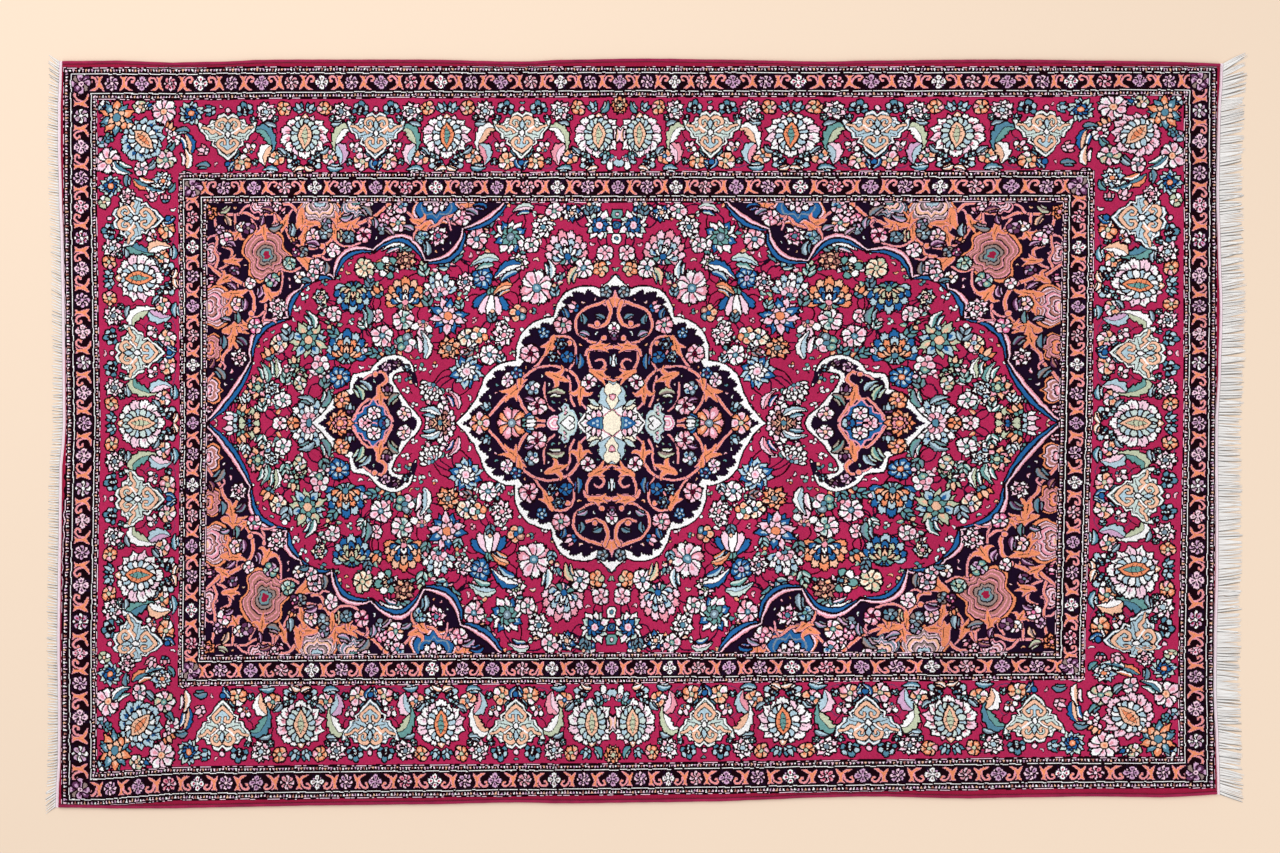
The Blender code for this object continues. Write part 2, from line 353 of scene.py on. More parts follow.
def buds(at, size, turn, letters):
    """Round buds in a ring round another."""
    *outer, heart = dyes_of(letters)
    for i in range(5):
        dye = outer[i % len(outer)]
        disc(at + 0.62 * size * way(turn + 72 * i), 0.4 * size, dye, K)
        if size > 5:
            disc(at + 0.66 * size * way(turn + 72 * i), 0.17 * size, SPOTS.get(dye, K))
    disc(at, 0.26 * size, heart, K, FINE_RIM)


def bud(at, size, turn, letters):
    """A bud of three petals in a cup."""
    one, cup = dyes_of(letters)
    fan(at - size * way(turn), 0.3 * size, 1.9 * size, (32, 0), 0.7 * size, (one, SPOTS.get(one, I)), turn)
    fan(at - size * way(turn), 0.0, 0.9 * size, (55,), 0.5 * size, (cup,), turn)


def plant(rows, scale=1.0):
    """Draw flowers from rows of motif, place, size, turn and dyes."""
    for motif, at, size, turn, letters in rows:
        motif(at, scale * size, turn, letters)


# What stands on the crimson field: motif, place along and across the rug, size, turn, dyes
FIELD_FLOWERS = (
    (lotus, 266+75j, 17.5, 92, "BAOCT"), (lotus, 260+127j, 16, -88, "ABYCG"),
    (lotus, 208+128j, 17, 90, "OCBIS"), (peony, 174+136j, 14, 84, "AIPS"),
    (tulip, 123+122j, 15, -86, "BPIG"), (dahlia, 105+186j, 15.5, 5, "IBGZ"),
    (dahlia, 146+51.5j, 15, 12, "ABIP"), (rosette, 78+135j, 15.5, 100, "IPIST"),
    (lotus, 50+174j, 18, 74, "SPAIB"), (dahlia, 17+198j, 13.5, 0, "IVBP"),
    (star, 165+107j, 17, 64, "PBPO"), (rosette, 273+46j, 9.5, 20, "BBO"),
    (star, 304+83j, 17.5, 96, "AYAGC"), (peony, 303+10j, 15, 90, "AIPS"),
    (rosette, 329+23j, 7.5, 30, "IIG"), (rosette, 332+0j, 6.5, 90, "PIS"),
    (rosette, 319+0j, 5.5, 0, "OCO"), (star, 312+48j, 7, 0, "GYS"), (buds, 347+24j, 5.5, 0, "AIV"),
    (star, 354+36j, 11, 150, "SCBGY"), (lotus, 362+6j, 9, 100, "YCWSB"),
    (rosette, 333+80j, 8, 0, "HHPA"), (peony, 182+33j, 10, -60, "IIAS"),
    (lotus, 172+6j, 13, 90, "IPWCT"), (rosette, 249+155j, 9, 15, "HYHY"),
    (lotus, 227+156j, 9.5, 10, "GIHCT"), (star, 208+163j, 9, 40, "WCWC"),
    (rosette, 210+103j, 9.5, 30, "PIVG"), (peony, 191+96j, 9.5, -80, "IPSC"),
    (rosette, 231+87j, 10, 70, "IPIT"), (buds, 207+80j, 9, 30, "GZIPT"),
    (star, 164+75j, 10.5, 70, "COCZ"), (rosette, 146+86j, 8, 0, "HIT"), (buds, 134+88j, 8, 60, "CIOG"),
    (star, 110+88j, 10, 100, "PIIS"), (rosette, 124+68j, 9, 0, "IIT"),
    (rosette, 138+184j, 9.5, 20, "IPST"), (rosette, 84+178j, 7, 50, "IPIG"),
    (star, 73+196j, 10, 60, "IIT"), (rosette, 62+212j, 7.5, 45, "IIPG"), (star, 45+210j, 8, 10, "IBIC"),
    (rosette, 11+170j, 7.5, 90, "IPS"), (rosette, 32+155j, 9.5, 90, "IIT"),
    (buds, 15+154j, 7, 40, "COYC"), (star, 96+161j, 8.5, 30, "PIYG"),
    (rosette, 132+145j, 9.5, 30, "BBL"), (star, 149+141j, 8.5, 45, "IPT"),
    (buds, 96+110j, 8, 80, "CWTCB"), (rosette, 279+109j, 7, 45, "IPV"),
    (buds, 292+59j, 8.5, 60, "PIIGS"), (star, 340+35j, 7, 30, "AIA"), (rosette, 236+107j, 6, 45, "IPS"),
    (bud, 344+70j, 6.5, 60, "OT"), (bud, 369+14j, 6, 120, "OG"), (bud, 379+26j, 5, 90, "TG"),
    (bud, 382+5j, 6.5, 0, "IA"), (rosette, 152+208j, 7, 10, "CIST"), (buds, 22+216j, 5.5, 0, "BZIT"),
    (rosette, 312+40j, 6, 0, "YIA"), (bud, 318+62j, 5.5, 80, "YG"), (bud, 236+132j, 6, 60, "CT"),
    (star, 292+126j, 7, 0, "HAHS"), (leaf_pair, 346+51j, 9, 70, "GVI"),
    (leaf_pair, 335+55j, 9, 84, "IYG"), (leaf_pair, 130+163j, 12, -15, "VAG"),
    (leaf_pair, 108+154j, 13, -30, "BIA"), (leaf_pair, 187+78j, 12, 80, "IAP"),
    (leaf_pair, 222+178j, 9, -20, "PIT"), (leaf_pair, 112+135j, 9, -30, "OCA"),
    (leaf_pair, 181+12j, 9, 10, "AIT"), (leaf_pair, 300+104j, 8, 60, "IGT"),
    (leaf_pair, 157+24j, 9, 60, "PSB"), (leaf_pair, 285+24j, 8, 110, "GZI"),
    (leaf_pair, 305+24j, 7.5, 20, "ZAG"), (leaf_pair, 93+215j, 9, -12, "VPB"),
    (leaf_pair, 120+214j, 8, 30, "BZA"), (leaf_pair, 44+148j, 8, -70, "CYT"),
    (leaf_pair, 158+168j, 7.5, -40, "TVG"), (leaf_pair, 244+108j, 8, 80, "ZGA"),
    (leaf_pair, 64+154j, 8, 80, "IAT"), (sprig, 190+152j, 9, 80, "VGY"), (sprig, 170+158j, 9, 40, "TVI"),
    (sprig, 186+122j, 8, 84, "GZS"), (sprig, 325+88j, 10, 80, "AZI"), (sprig, 279+90j, 8, 50, "GTC"),
    (sprig, 240+70j, 8, 20, "TGP"), (sprig, 350+16j, 8, 90, "IGC"), (sprig, 222+71j, 8, 80, "GTS"),
    (sprig, 288+40j, 8, 120, "GZP"), (sprig, 60+131j, 7, 84, "ATC"), (sprig, 205+176j, 7, 20, "GZI"),
    (sprig, 144+71j, 7, 0, "ZWP"), (sprig, 112+64j, 7, 84, "ITS"), (sprig, 28+212j, 7, 90, "ZTC"),
    (sprig, 327+45j, 8, 100, "GVS"), (sprig, 244+140j, 7, 100, "ZTP"), (sprig, 154+118j, 7, 80, "AGO"),
    (sprig, 122+105j, 7, 90, "ZTC"), (sprig, 366+25j, 7, 90, "AIC"), (sprig, 250+98j, 7, 60, "IGS"),
    (sprig, 126+200j, 7, 100, "ZTI"),
)
# Small leaves on the ground: the dyes of their halves
LEAF_PAIRS = (
    (G, Z), (I, A), (T, G), (P, S), (V, G), (P, I), (Y, G), (I, P), (I, V), (C, O), (S, P), (C, P),
)
BUD_DYES = (P, I, C, S, A, I, P, O, G, B, W, I)
# The clear ground round a small sprig
SPRIG_GAP = 0.9
# The bends of the stems from a flower to those near it, and the longest stem
STEM_BENDS = (0.24, -0.2, 0.16, -0.28)
STEM_REACH = 60


def tendrils(rows):
    """Thin dark stems with leaves in pairs, from each flower to those near it."""
    places = np.array([row[1] for row in rows])
    for i, p in enumerate(places):
        for n, j in enumerate(np.argsort(abs(places - p))[1:5]):
            q = places[j]
            if abs(q - p) > STEM_REACH:
                continue
            line = smooth([p, p + (q - p) * (0.5 + STEM_BENDS[n] * 1j), q], parts=8)
            stroke(line, (K, N)[i % 2], 1.4)
            for k, side in ((6, 1), (9, -1))[:2 if n < 2 else 0]:
                out = (line[k + 1] - line[k]) / abs(line[k + 1] - line[k]) * way(42 * side)
                leaf([line[k], line[k] + 2.6 * out, line[k] + 5.4 * out * way(12 * side)], 3.4,
                     *LEAF_PAIRS[(i + k) % len(LEAF_PAIRS)], K, FINE_RIM)


def free(at, reach, dye):
    """Whether nothing but the ground's dye lies round a place."""
    found = window(at - reach * (1+1j), at + reach * (1+1j))
    return found is not None and (chart[found[0]] == dye).all()


def sprinkle(low, high, seed, tries, dye=R, sizes=(5.2, 4.4, 3.6, 2.8, 2.1)):
    """Small sprigs and leaves on what is left of the ground between the flowers."""
    draw = np.random.default_rng(seed)
    for size in sizes:
        for _ in range(tries):
            at = complex(draw.uniform(low.real, high.real), draw.uniform(low.imag, high.imag))
            out = size * way(draw.uniform(0, 360))
            bend = 0.3j * out
            kind = draw.integers(0, len(LEAF_PAIRS))
            if not free(at, size + SPRIG_GAP, dye):
                continue
            if size > 3:
                stem = smooth([at - out, at + bend, at + 0.6 * out])
                stroke(stem, K, 1.2)
                for side in (1, -1):
                    foot, tip = stem[4], stem[4] + 0.75 * out * way(50 * side)
                    spine = [foot, 0.5 * (foot + tip) + 0.2 * (tip - foot) * 1j * side, tip]
                    leaf(spine, 0.5 * size, *LEAF_PAIRS[kind], K, FINE_RIM)
                disc(at + 0.7 * out, 0.3 * size, BUD_DYES[kind], K, FINE_RIM)
            else:
                spine = [at - out - bend, at + bend, at + out - bend]
                leaf(spine, 0.75 * size, *LEAF_PAIRS[kind], K, FINE_RIM)


# Vase shapes on the middle line of the field: where they start and end, half width, dyes of body and spot
VASES = ((205, 213, 6, G, P), (195, 201, 4, B, T), (180, 189, 4.5, I, T))


def field():
    """The crimson ground with its flowers."""
    fill([0, FIELD_LENGTH, FIELD_CORNER, FIELD_WIDTH * 1j], R)
    tendrils(FIELD_FLOWERS)
    plant(FIELD_FLOWERS, FIELD_SCALE)
    for low, high, width, dye, spot in VASES:
        foot = [width + (low + 3) * 1j, 0.6 * width + low * 1j, low * 1j]
        shape([*foot, high * 1j, 0.7 * width + high * 1j], dye)
        disc(0.5 * (low + high) * 1j, 1.5, spot, K, FINE_RIM)
    sprinkle(1+1j, 403+219j, 3, 2600)


# Arabesques

def branch(widths, *places):
    """An arabesque stem with a pale edge, with its widths at its start and its end."""
    line = smooth(places)
    for width, dye in ((np.add(widths, 1.4), K), (widths, S), (np.maximum(np.subtract(widths, 1.5), 0), O)):
        stroke(line, dye, width)


# Arabesque leaves of size 1 that point along: the width and the spine of each blade
BLADES = {
    "left": ((0.62, -1, -0.4+0.1j, 0.3+0.24j, 0.95+0.75j), (0.5, -0.6, 0-0.1j, 0.6-0.02j, 1.15-0.22j),
             (0.36, -0.3-0.05j, 0.1-0.3j, 0.42-0.74j)),
    "horned": ((0.62, -1, -0.3, 0.4, 1.15), (0.42, -0.4, 0.05+0.3j, 0.2+0.65j, -0.02+1j),
               (0.42, -0.4, 0.05-0.3j, 0.2-0.65j, -0.02-1j)),
}
BLADES["right"] = tuple((width, *np.conj(spine)) for width, *spine in BLADES["left"])


def arabesques(stems, leaves, bulbs):
    """Stems as widths at both ends and places, leaves as place, size, turn and kind, and bulbs."""
    for first, last, *places in stems:
        branch((first, last), *places)
    for at, size, turn, kind in leaves:
        z = pose(at, turn, size)
        for more, dye in ((1.6, K), (0.0, S), (-1.6, O)):
            for width, *spine in BLADES[kind]:
                spine = z(smooth(spine, parts=6))
                half = blade(spine, width * size + more)
                fill(np.concatenate([spine + half, (spine - half)[::-1]]), dye)
        stroke(z([-0.3, 0.1, 0.4]), K, 0.7)
    for at in bulbs:
        disc(at, 2.8, O, K, FINE_RIM)
        stroke(at + 2.4 * way(30 * np.arange(13)), S, 0.8)


# The lobed outlines, from place to place with the bulge of the stretch that follows
MEDALLION_LOBES = (
    (156+0j, -0.08), (128.5+44j, 0.14), (97+62j, 0.24), (60+106j, 0.1), (48+131j, 0.12),
    (16+134j, -0.05), (0+148j, 0.0),
)
PENDANT_LOBES = (
    (299.5+0j, -0.06), (277+28j, 0.0), (262+34j, 0.08), (258+49j, -0.04), (242+52j, 0.12),
    (220+68j, 0.22), (198+48j, 0.05), (196+37j, 0.0), (203+51.5j, -0.55), (214+32j, 0.0),
    (202+15j, 0.08), (190.5+0j, 0.0),
)
SPANDREL_LOBES = (
    (406+0j, -0.05), (361+62j, 0.26), (323.4+105j, 0.2), (311+134j, 0.24), (279+145j, 0.28),
    (240+172j, 0.36), (189+162j, -0.24), (151+194j, -0.1), (110+221j, 0.0),
)


def flames(line, low, high, pitch):
    """A copy of a line, moved to its left by a width that grows into a hook once a pitch."""
    step = np.gradient(line)
    run = np.cumsum(abs(step)) - abs(step[0])
    fine = np.arange(0, run[-1], 0.7)
    places = np.interp(fine, run, line.real) + 1j * np.interp(fine, run, line.imag)
    out = np.gradient(places)
    share = (fine / pitch) % 1.0
    width = low + (high - low) * (share ** 2 * 0.9 + 0.25 * np.sin(2 * np.pi * fine / pitch * 2.4) ** 2)
    return places + 1j * out / abs(out) * width


def medallion():
    """The lobed medallion: a pale rim in flames round navy, with arabesques and flowers."""
    outer = arcs(*MEDALLION_LOBES)
    stroke(outer, K, 3.2)
    fill(np.append(outer, 0), I)
    inner = flames(outer, 3.2, 10.0, 15.5)
    stroke(inner, K, 1.6)
    fill(np.append(inner, 0), N)
    shape([133j, 2+126j, 10+123j, 11+118j, 4+115j, 117j], O, S, 0.9)
    arabesques(MEDALLION_STEMS, MEDALLION_LEAVES, (17+99.5j, 44+80j, 10+85j))
    plant(MEDALLION_FLOWERS)
    sprinkle(1+1j, 150+140j, 7, 700, N, (2.8, 2.0, 1.4))
    medallion_heart()


# The medallion's arabesques: the ring beside the middle line, the ring to its left, the arch over the axis
MEDALLION_STEMS = (
    (3.6, 2.2, 8+122j, 17+119j, 30+114j, 38+104j, 37+91j, 25+82j), (2.4, 4.8, 26+82j, 12+78j, 0+76j),
    (4.6, 2.6, 7+121j, 4+110j, 8+100j, 16+96j, 25+98j),
    (2.6, 3.4, 25+72j, 25+62j, 20+53j, 10+47j, 0+41j), (1.6, 3.2, 18+62j, 12+64j, 8+59j, 11+54j),
    (4.2, 2.6, 2+76j, 14+73j, 25+74j, 28+68j),
    (2.6, 2.2, 62+85j, 53+87j, 44+85j, 38+76j, 39+64j, 44+54j), (2.4, 2.2, 69+68j, 74+60j, 80+54j),
    (2.0, 2.4, 80+54j, 66+57j, 54+56j, 44+52j), (2.6, 3.0, 78+54j, 90+45j, 95+32j, 88+14j, 76+4j, 68+2j),
    (2.2, 2.0, 68+40j, 68+28j, 65+18j, 58+12j), (2.6, 3.2, 43+52j, 37+46j, 33+38j),
    (1.8, 2.4, 45+47j, 42+37j, 42+26j, 38+17j), (2.2, 1.6, 33+22j, 28+16j, 22+11j),
    (2.2, 3.2, 126+4j, 116+15j, 106+27j), (2.2, 1.6, 52+76j, 55+71j, 50+68j),
)
MEDALLION_LEAVES = (
    (64+77j, 12, -68, "right"), (56+46j, 13, 200, "horned"), (32+31j, 12, -88, "horned"),
    (15+77j, 10, 176, "left"), (14+49j, 11, 205, "left"), (98+32j, 13, -40, "left"),
    (92+41j, 9, 96, "right"),
)
MEDALLION_FLOWERS = (
    (rosette, 105+43j, 6.5, 30, "PIL"), (buds, 96+50j, 5.5, 0, "BBM"), (rosette, 83+69j, 9, 90, "PSD"),
    (buds, 70+90j, 5.5, 20, "BBA"), (rosette, 51+98j, 8.5, 60, "SPG"), (star, 53+79j, 6, 0, "BZA"),
    (bud, 42+116j, 6, 20, "SB"), (buds, 9+131j, 5.5, 30, "ZZE"), (rosette, 0+95j, 6, 90, "IPF"),
    (buds, 0+87j, 4.0, 0, "MLZ"), (rosette, 46+66j, 6, 10, "BBZ"), (star, 60+66j, 5.6, 0, "BAA"),
    (rosette, 24+41j, 7.0, 40, "PID"), (buds, 80+35j, 7, 10, "AZIP"), (rosette, 75+17j, 9, 90, "PSID"),
    (leaf_pair, 56+31j, 8, 0, "YEI"), (leaf_pair, 33+62j, 7, 90, "BZM"),
    (leaf_pair, 29+90j, 5, 20, "ZLT"), (leaf_pair, 14+107j, 4.6, 20, "ZTL"), (bud, 126+17j, 5, 60, "ZT"),
    (rosette, 100+0j, 15, 0, "SOSZ"), (rosette, 132+0j, 10, 0, "POY"), (tulip, 84+2j, 7, 180, "BAIT"),
    (leaf_pair, 48+110j, 5, 70, "BZT"), (leaf_pair, 0+62j, 5.4, 90, "AIA"),
    (leaf_pair, 83+24j, 4.6, 10, "MLB"), (leaf_pair, 30+104j, 5, 80, "TZG"),
)


# Half outlines in the middle of the rug: the lobed arm, its heart, the pale cross and the shield beside it
ARM = (
    11j, 5.6+13.0j, 11.2+14.0j, 14.2+19.5j, 12.0+24.5j, 13.0+30.5j, 9.6+36.0j, 6.0+37.5j, 4.4+42.0j,
    40.0j,
)
HEART = (
    13.5j, 3.4+18.0j, 6.6+22.5j, 5.0+27.0j, 8.2+32.0j, 7.4+37.5j, 4.0+40.5j, 37.5j,
)
CROSS = (
    34.5, 29.5+8.0j, 25.0+12.0j, 25.4+18.0j, 19.0+21.0j, 12.0+18.0j, 5.0+14.0j, 12.0j,
)
SIDE_SHIELD = (
    34.5, 35.4+7.0j, 39.0+12.5j, 42.6+13.0j, 43.4+18.4j, 47.8+20.0j, 51.0+16.0j, 49.4+11.6j, 53.6+8.6j,
    52.4+4.0j, 54.5,
)


def medallion_heart():
    """The rings on the axis, the pale shields beside them, and the cross in the middle of the rug."""
    for size, dye in ((8.8, K), (7.8, P), (6.6, F), (5.4, I), (3.4, S), (2.0, P)):
        disc(57+0j, size, dye)
    shield = np.append(SIDE_SHIELD, np.conj(SIDE_SHIELD[-2:0:-1]))
    shape(shield, A)
    fill(0.88 * (shield - 44.5) + 44.5, V)
    fill([51.5, 47+4.6j, 42.4+7.2j, 38+5j, 37.6, 38-5j, 42.4-7.2j, 47-4.6j], I)
    stroke(smooth([52, 47+4.6j, 42.4+7.2j, 38.2+5.2j, 38+1.8j, 40.6+0.8j, 42.4+2.8j]), K, 1.3)
    stroke(smooth([48.4+7.6j, 45+10.2j, 48+13j, 45.6+15.6j, 47.6+17.6j]), K, 1.2)
    for at, dye in ((46.6+12.9j, P), (47.4+9.9j, S), (46.9+15.6j, L)):
        disc(at, 1.1, dye)
    # the lobed arm over the middle, ice with an ivory heart
    for half, dye in ((ARM, A), (HEART, H)):
        shape(np.append(half, -np.conj(half[-2:0:-1])), dye, K, FINE_RIM)
    shape([28.5j, 3.0+28j, 2.4+25j, 22.5j, -2.4+25j, -3.0+28j], S, K, FINE_RIM)
    disc(26j, 1.2, P)
    # the pale cross with its petals, its blue flowers and its plain heart
    shape(np.concatenate([CROSS, -np.conj(CROSS[-2::-1])]), I, K, FINE_RIM)
    petal(11+14.5j, 24+17.5j, 6.2, H)
    petal(13.5+17j, 23+23.5j, 4.6, V, A)
    stroke(smooth([31.5, 27+6.5j, 23+10.5j, 16+13.5j]), K, 0.9)
    petal(13+4j, 13.5+13j, 4.6, P, S)
    petal(18+4j, 18.6+12.5j, 4.4, P, I)
    petal(21+2j, 25.5+8.6j, 4.4, I, P)
    petal(22+0j, 31+0j, 6.4, I, P)
    shape([9.4, 9.6+6j, 15+5.6j, 20+3.6j, 25, 20-3.6j, 15-5.6j, 9.6-6j], B, K, FINE_RIM)
    stroke([11-5j, 11+5j], T, 2.2)
    for at in (14.6+2.2j, 18.6+0j):
        disc(at, 1.5, A)
    shape([12.5j, 8.2+6.5j, 8.8, 8.2-6.5j, -12.5j, -9], H, K, FINE_RIM)
    stroke([1+13.5j, 10+6.4j], S, 0.8)


# What a pendant holds: stems, flowers and the half lozenge of blue with three pale flowers on it
PENDANT_STEMS = (
    (2.4, 4.4, 236+49j, 230+51j, 226+43j, 233+36j), (2.6, 2.2, 244+24j, 252+16j, 261+2j),
    (3.2, 2.2, 229+20j, 223+9j, 219+2j), (1.8, 1.8, 250+42j, 244+47j, 237+49j),
)
LOZENGE = (262, 257+4j, 256+9j, 250+11j, 248+16j, 243+18j, 239+24j, 234+18j, 228+16j, 227+9j, 222+5j, 220)
LOZENGE_FLOWERS = (
    (rosette, 247+0j, 6.5, 90, "IPS"), (rosette, 238+10j, 6.5, 90, "IIS"),
    (rosette, 228+0j, 5.5, 90, "BAM"),
)
PENDANT_FLOWERS = (
    (dahlia, 272+0j, 12.5, 0, "OCSO"), (rosette, 270+23j, 7.5, 0, "COS"), (bud, 262+15j, 5, 90, "ZM"),
    (leaf_pair, 252+31j, 7.5, 60, "YGA"), (leaf_pair, 246+38j, 7, 40, "AZY"), (bud, 225+33j, 5, 84, "LE"),
    (leaf_pair, 220+24j, 7, -50, "EGY"), (buds, 226+56j, 4.6, 0, "LPM"), (rosette, 208+9j, 6.5, 80, "PIC"),
    (bud, 216+60j, 3.6, 30, "LE"), (bud, 206+55j, 3, 60, "ZT"),
)


def pendant():
    """The smaller lobed shape at the end of the medallion."""
    outer = arcs(*PENDANT_LOBES)
    stroke(outer, K, 3.0)
    fill(outer, I)
    fill(np.append(flames(outer, 2.6, 5.6, 13.0), 195), N)
    arabesques(PENDANT_STEMS, ((232+27j, 12, -100, "horned"),), (237+49j,))
    shape(LOZENGE, B, S)
    plant(LOZENGE_FLOWERS + PENDANT_FLOWERS)
    sprinkle(196+1j, 290+62j, 8, 500, N, (2.6, 1.9, 1.4))


# What the spandrels hold: pointed flowers of rings inside each other
SHIELD = (
    -1, -0.8+0.5j, -0.42+0.8j, 0.0+0.66j, 0.42+0.86j, 0.82+0.6j, 0.78+0.2j, 1.04, 0.78-0.2j, 0.82-0.6j,
    0.42-0.86j, 0.0-0.66j, -0.42-0.8j, -0.8-0.5j,
)
SHIELDS = (
    (346+168j, 28, -112, "OOKSWWSWWKSWWKEEKZGX"), (294+222j, 26, -90, "OOKPEEPKCCPKEEPKAAZ"),
    (258+222j, 18, -90, "ZKPZZPKCCPKGG"), (178+223j, 29, -90, "OPKBBBZBBKPPPPP"),
    (405+117j, 26, 180, "OOKPWWPKSSPKWWPKSPC"), (405+76j, 17, 180, "OKSWWSKOOSKW"),
    (405+33j, 16, 180, "OKPWWPKSP"), (405+170j, 13, 180, "SKPWPKS"), (352+221j, 13, -90, "SKPWPKS"),
)


def shield(at, size, turn, letters):
    """A pointed flower of thin rings inside each other, each in its own dye."""
    outline = pose(at, turn)(smooth(SHIELD, True, 3)) - at
    fill(at + (size + 1.2) * outline, K)
    for i, dye in enumerate(dyes_of(letters)):
        fill(at + size * (1 - 0.9 * i / len(letters)) * outline, dye)


# Stems of the spandrel's arabesques: widths at both ends, then places
SPANDREL_STEMS = (
    (2.6, 2.6, 396+210j, 386+209j, 377+209j, 366+210j, 355+205j, 346+209j, 338+210j),
    (2.6, 2.6, 398+208j, 396+196j, 395+184j, 397+173j, 394+164j, 397+156j),
    (2.2, 3.0, 378+209j, 377+200j, 376+190j), (2.2, 2.0, 394+189j, 386+192j, 378+188j),
    (2.0, 1.8, 407+180j, 402+187j, 397+188j), (2.2, 2.0, 373+210j, 368+216j, 364+218j),
    (3.4, 2.0, 381+166j, 381+173j, 389+177j), (3.0, 1.8, 383+160j, 388+157j, 393+155j),
    (2.4, 4.0, 404+159j, 397+153j, 391+148j),
    (3.8, 3.6, 380+145j, 368+139j, 360+130j, 358+118j, 360+109j),
    (3.6, 4.0, 360+110j, 364+102j, 372+97j), (2.0, 2.0, 403+137j, 398+142j, 393+144j),
    (3.6, 2.4, 382+76j, 388+69j, 391+60j, 399+50j, 405+41j), (1.8, 1.6, 391+62j, 387+58j, 388+54j),
    (2.8, 1.8, 347+118j, 347+110j, 350+102j), (2.2, 1.8, 348+112j, 354+107j, 360+107j),
    (1.8, 1.4, 348+103j, 341+103j, 336+101j), (2.2, 1.8, 333+130j, 330+142j, 331+154j),
    (2.6, 3.6, 338+211j, 335+206j, 332+201j), (1.8, 1.6, 326+206j, 322+212j, 318+215j),
    (2.4, 2.0, 327+194j, 322+184j, 316+178j, 309+176j), (2.2, 3.2, 334+219j, 322+218j, 315+210j),
    (2.2, 2.0, 338+209j, 338+203j, 341+198j), (2.2, 2.0, 361+204j, 358+199j, 356+195j),
    (2.4, 2.2, 331+154j, 321+152j, 313+156j), (3.2, 2.6, 299+167j, 292+167j, 288+172j, 289+177j),
    (2.0, 1.6, 291+166j, 287+163j, 282+165j), (2.0, 1.8, 310+176j, 306+174j, 296+175j),
    (2.8, 3.2, 291+177j, 284+181j, 281+186j), (2.2, 1.8, 279+183j, 270+177j, 258+178j, 251+182j),
    (3.0, 3.2, 256+199j, 247+203j, 239+207j, 231+214j, 226+219j),
    (2.0, 1.6, 246+203j, 244+198j, 247+192j), (2.0, 1.8, 245+203j, 238+197j, 224+198j),
    (2.2, 2.6, 213+215j, 206+210j, 201+205j), (2.6, 2.2, 197+194j, 200+189j, 200+184j),
    (3.2, 2.2, 186+196j, 178+198j, 171+205j, 161+208j, 151+218j),
    (2.0, 1.6, 168+206j, 163+200j, 156+198j), (1.8, 1.4, 165+201j, 165+197j, 164+193j),
)
# Its leaves: place, size, turn, and whether the leaf has two horns, or is split to its left or right
SPANDREL_LEAVES = (
    (375+189j, 9, -60, "horned"), (380+163j, 9, 180, "left"), (387+145j, 10, 150, "horned"),
    (378+130j, 13, 175, "left"), (381+119j, 11, -84, "right"), (378+96j, 13, 165, "left"),
    (380+86j, 12, -80, "right"), (366+97j, 8, 20, "left"), (343+128j, 12, -120, "horned"),
    (328+200j, 10, -70, "horned"), (311+203j, 13, -90, "left"), (309+186j, 11, -80, "right"),
    (302+199j, 9, 0, "left"), (349+193j, 11, -100, "horned"), (306+161j, 13, -140, "left"),
    (279+193j, 11, 90, "horned"), (276+202j, 10, 84, "left"), (265+197j, 12, 180, "right"),
    (194+200j, 11, -160, "horned"), (190+196j, 9, -40, "left"), (147+217j, 10, 90, "horned"),
    (263+193j, 7, -90, "left"),
)
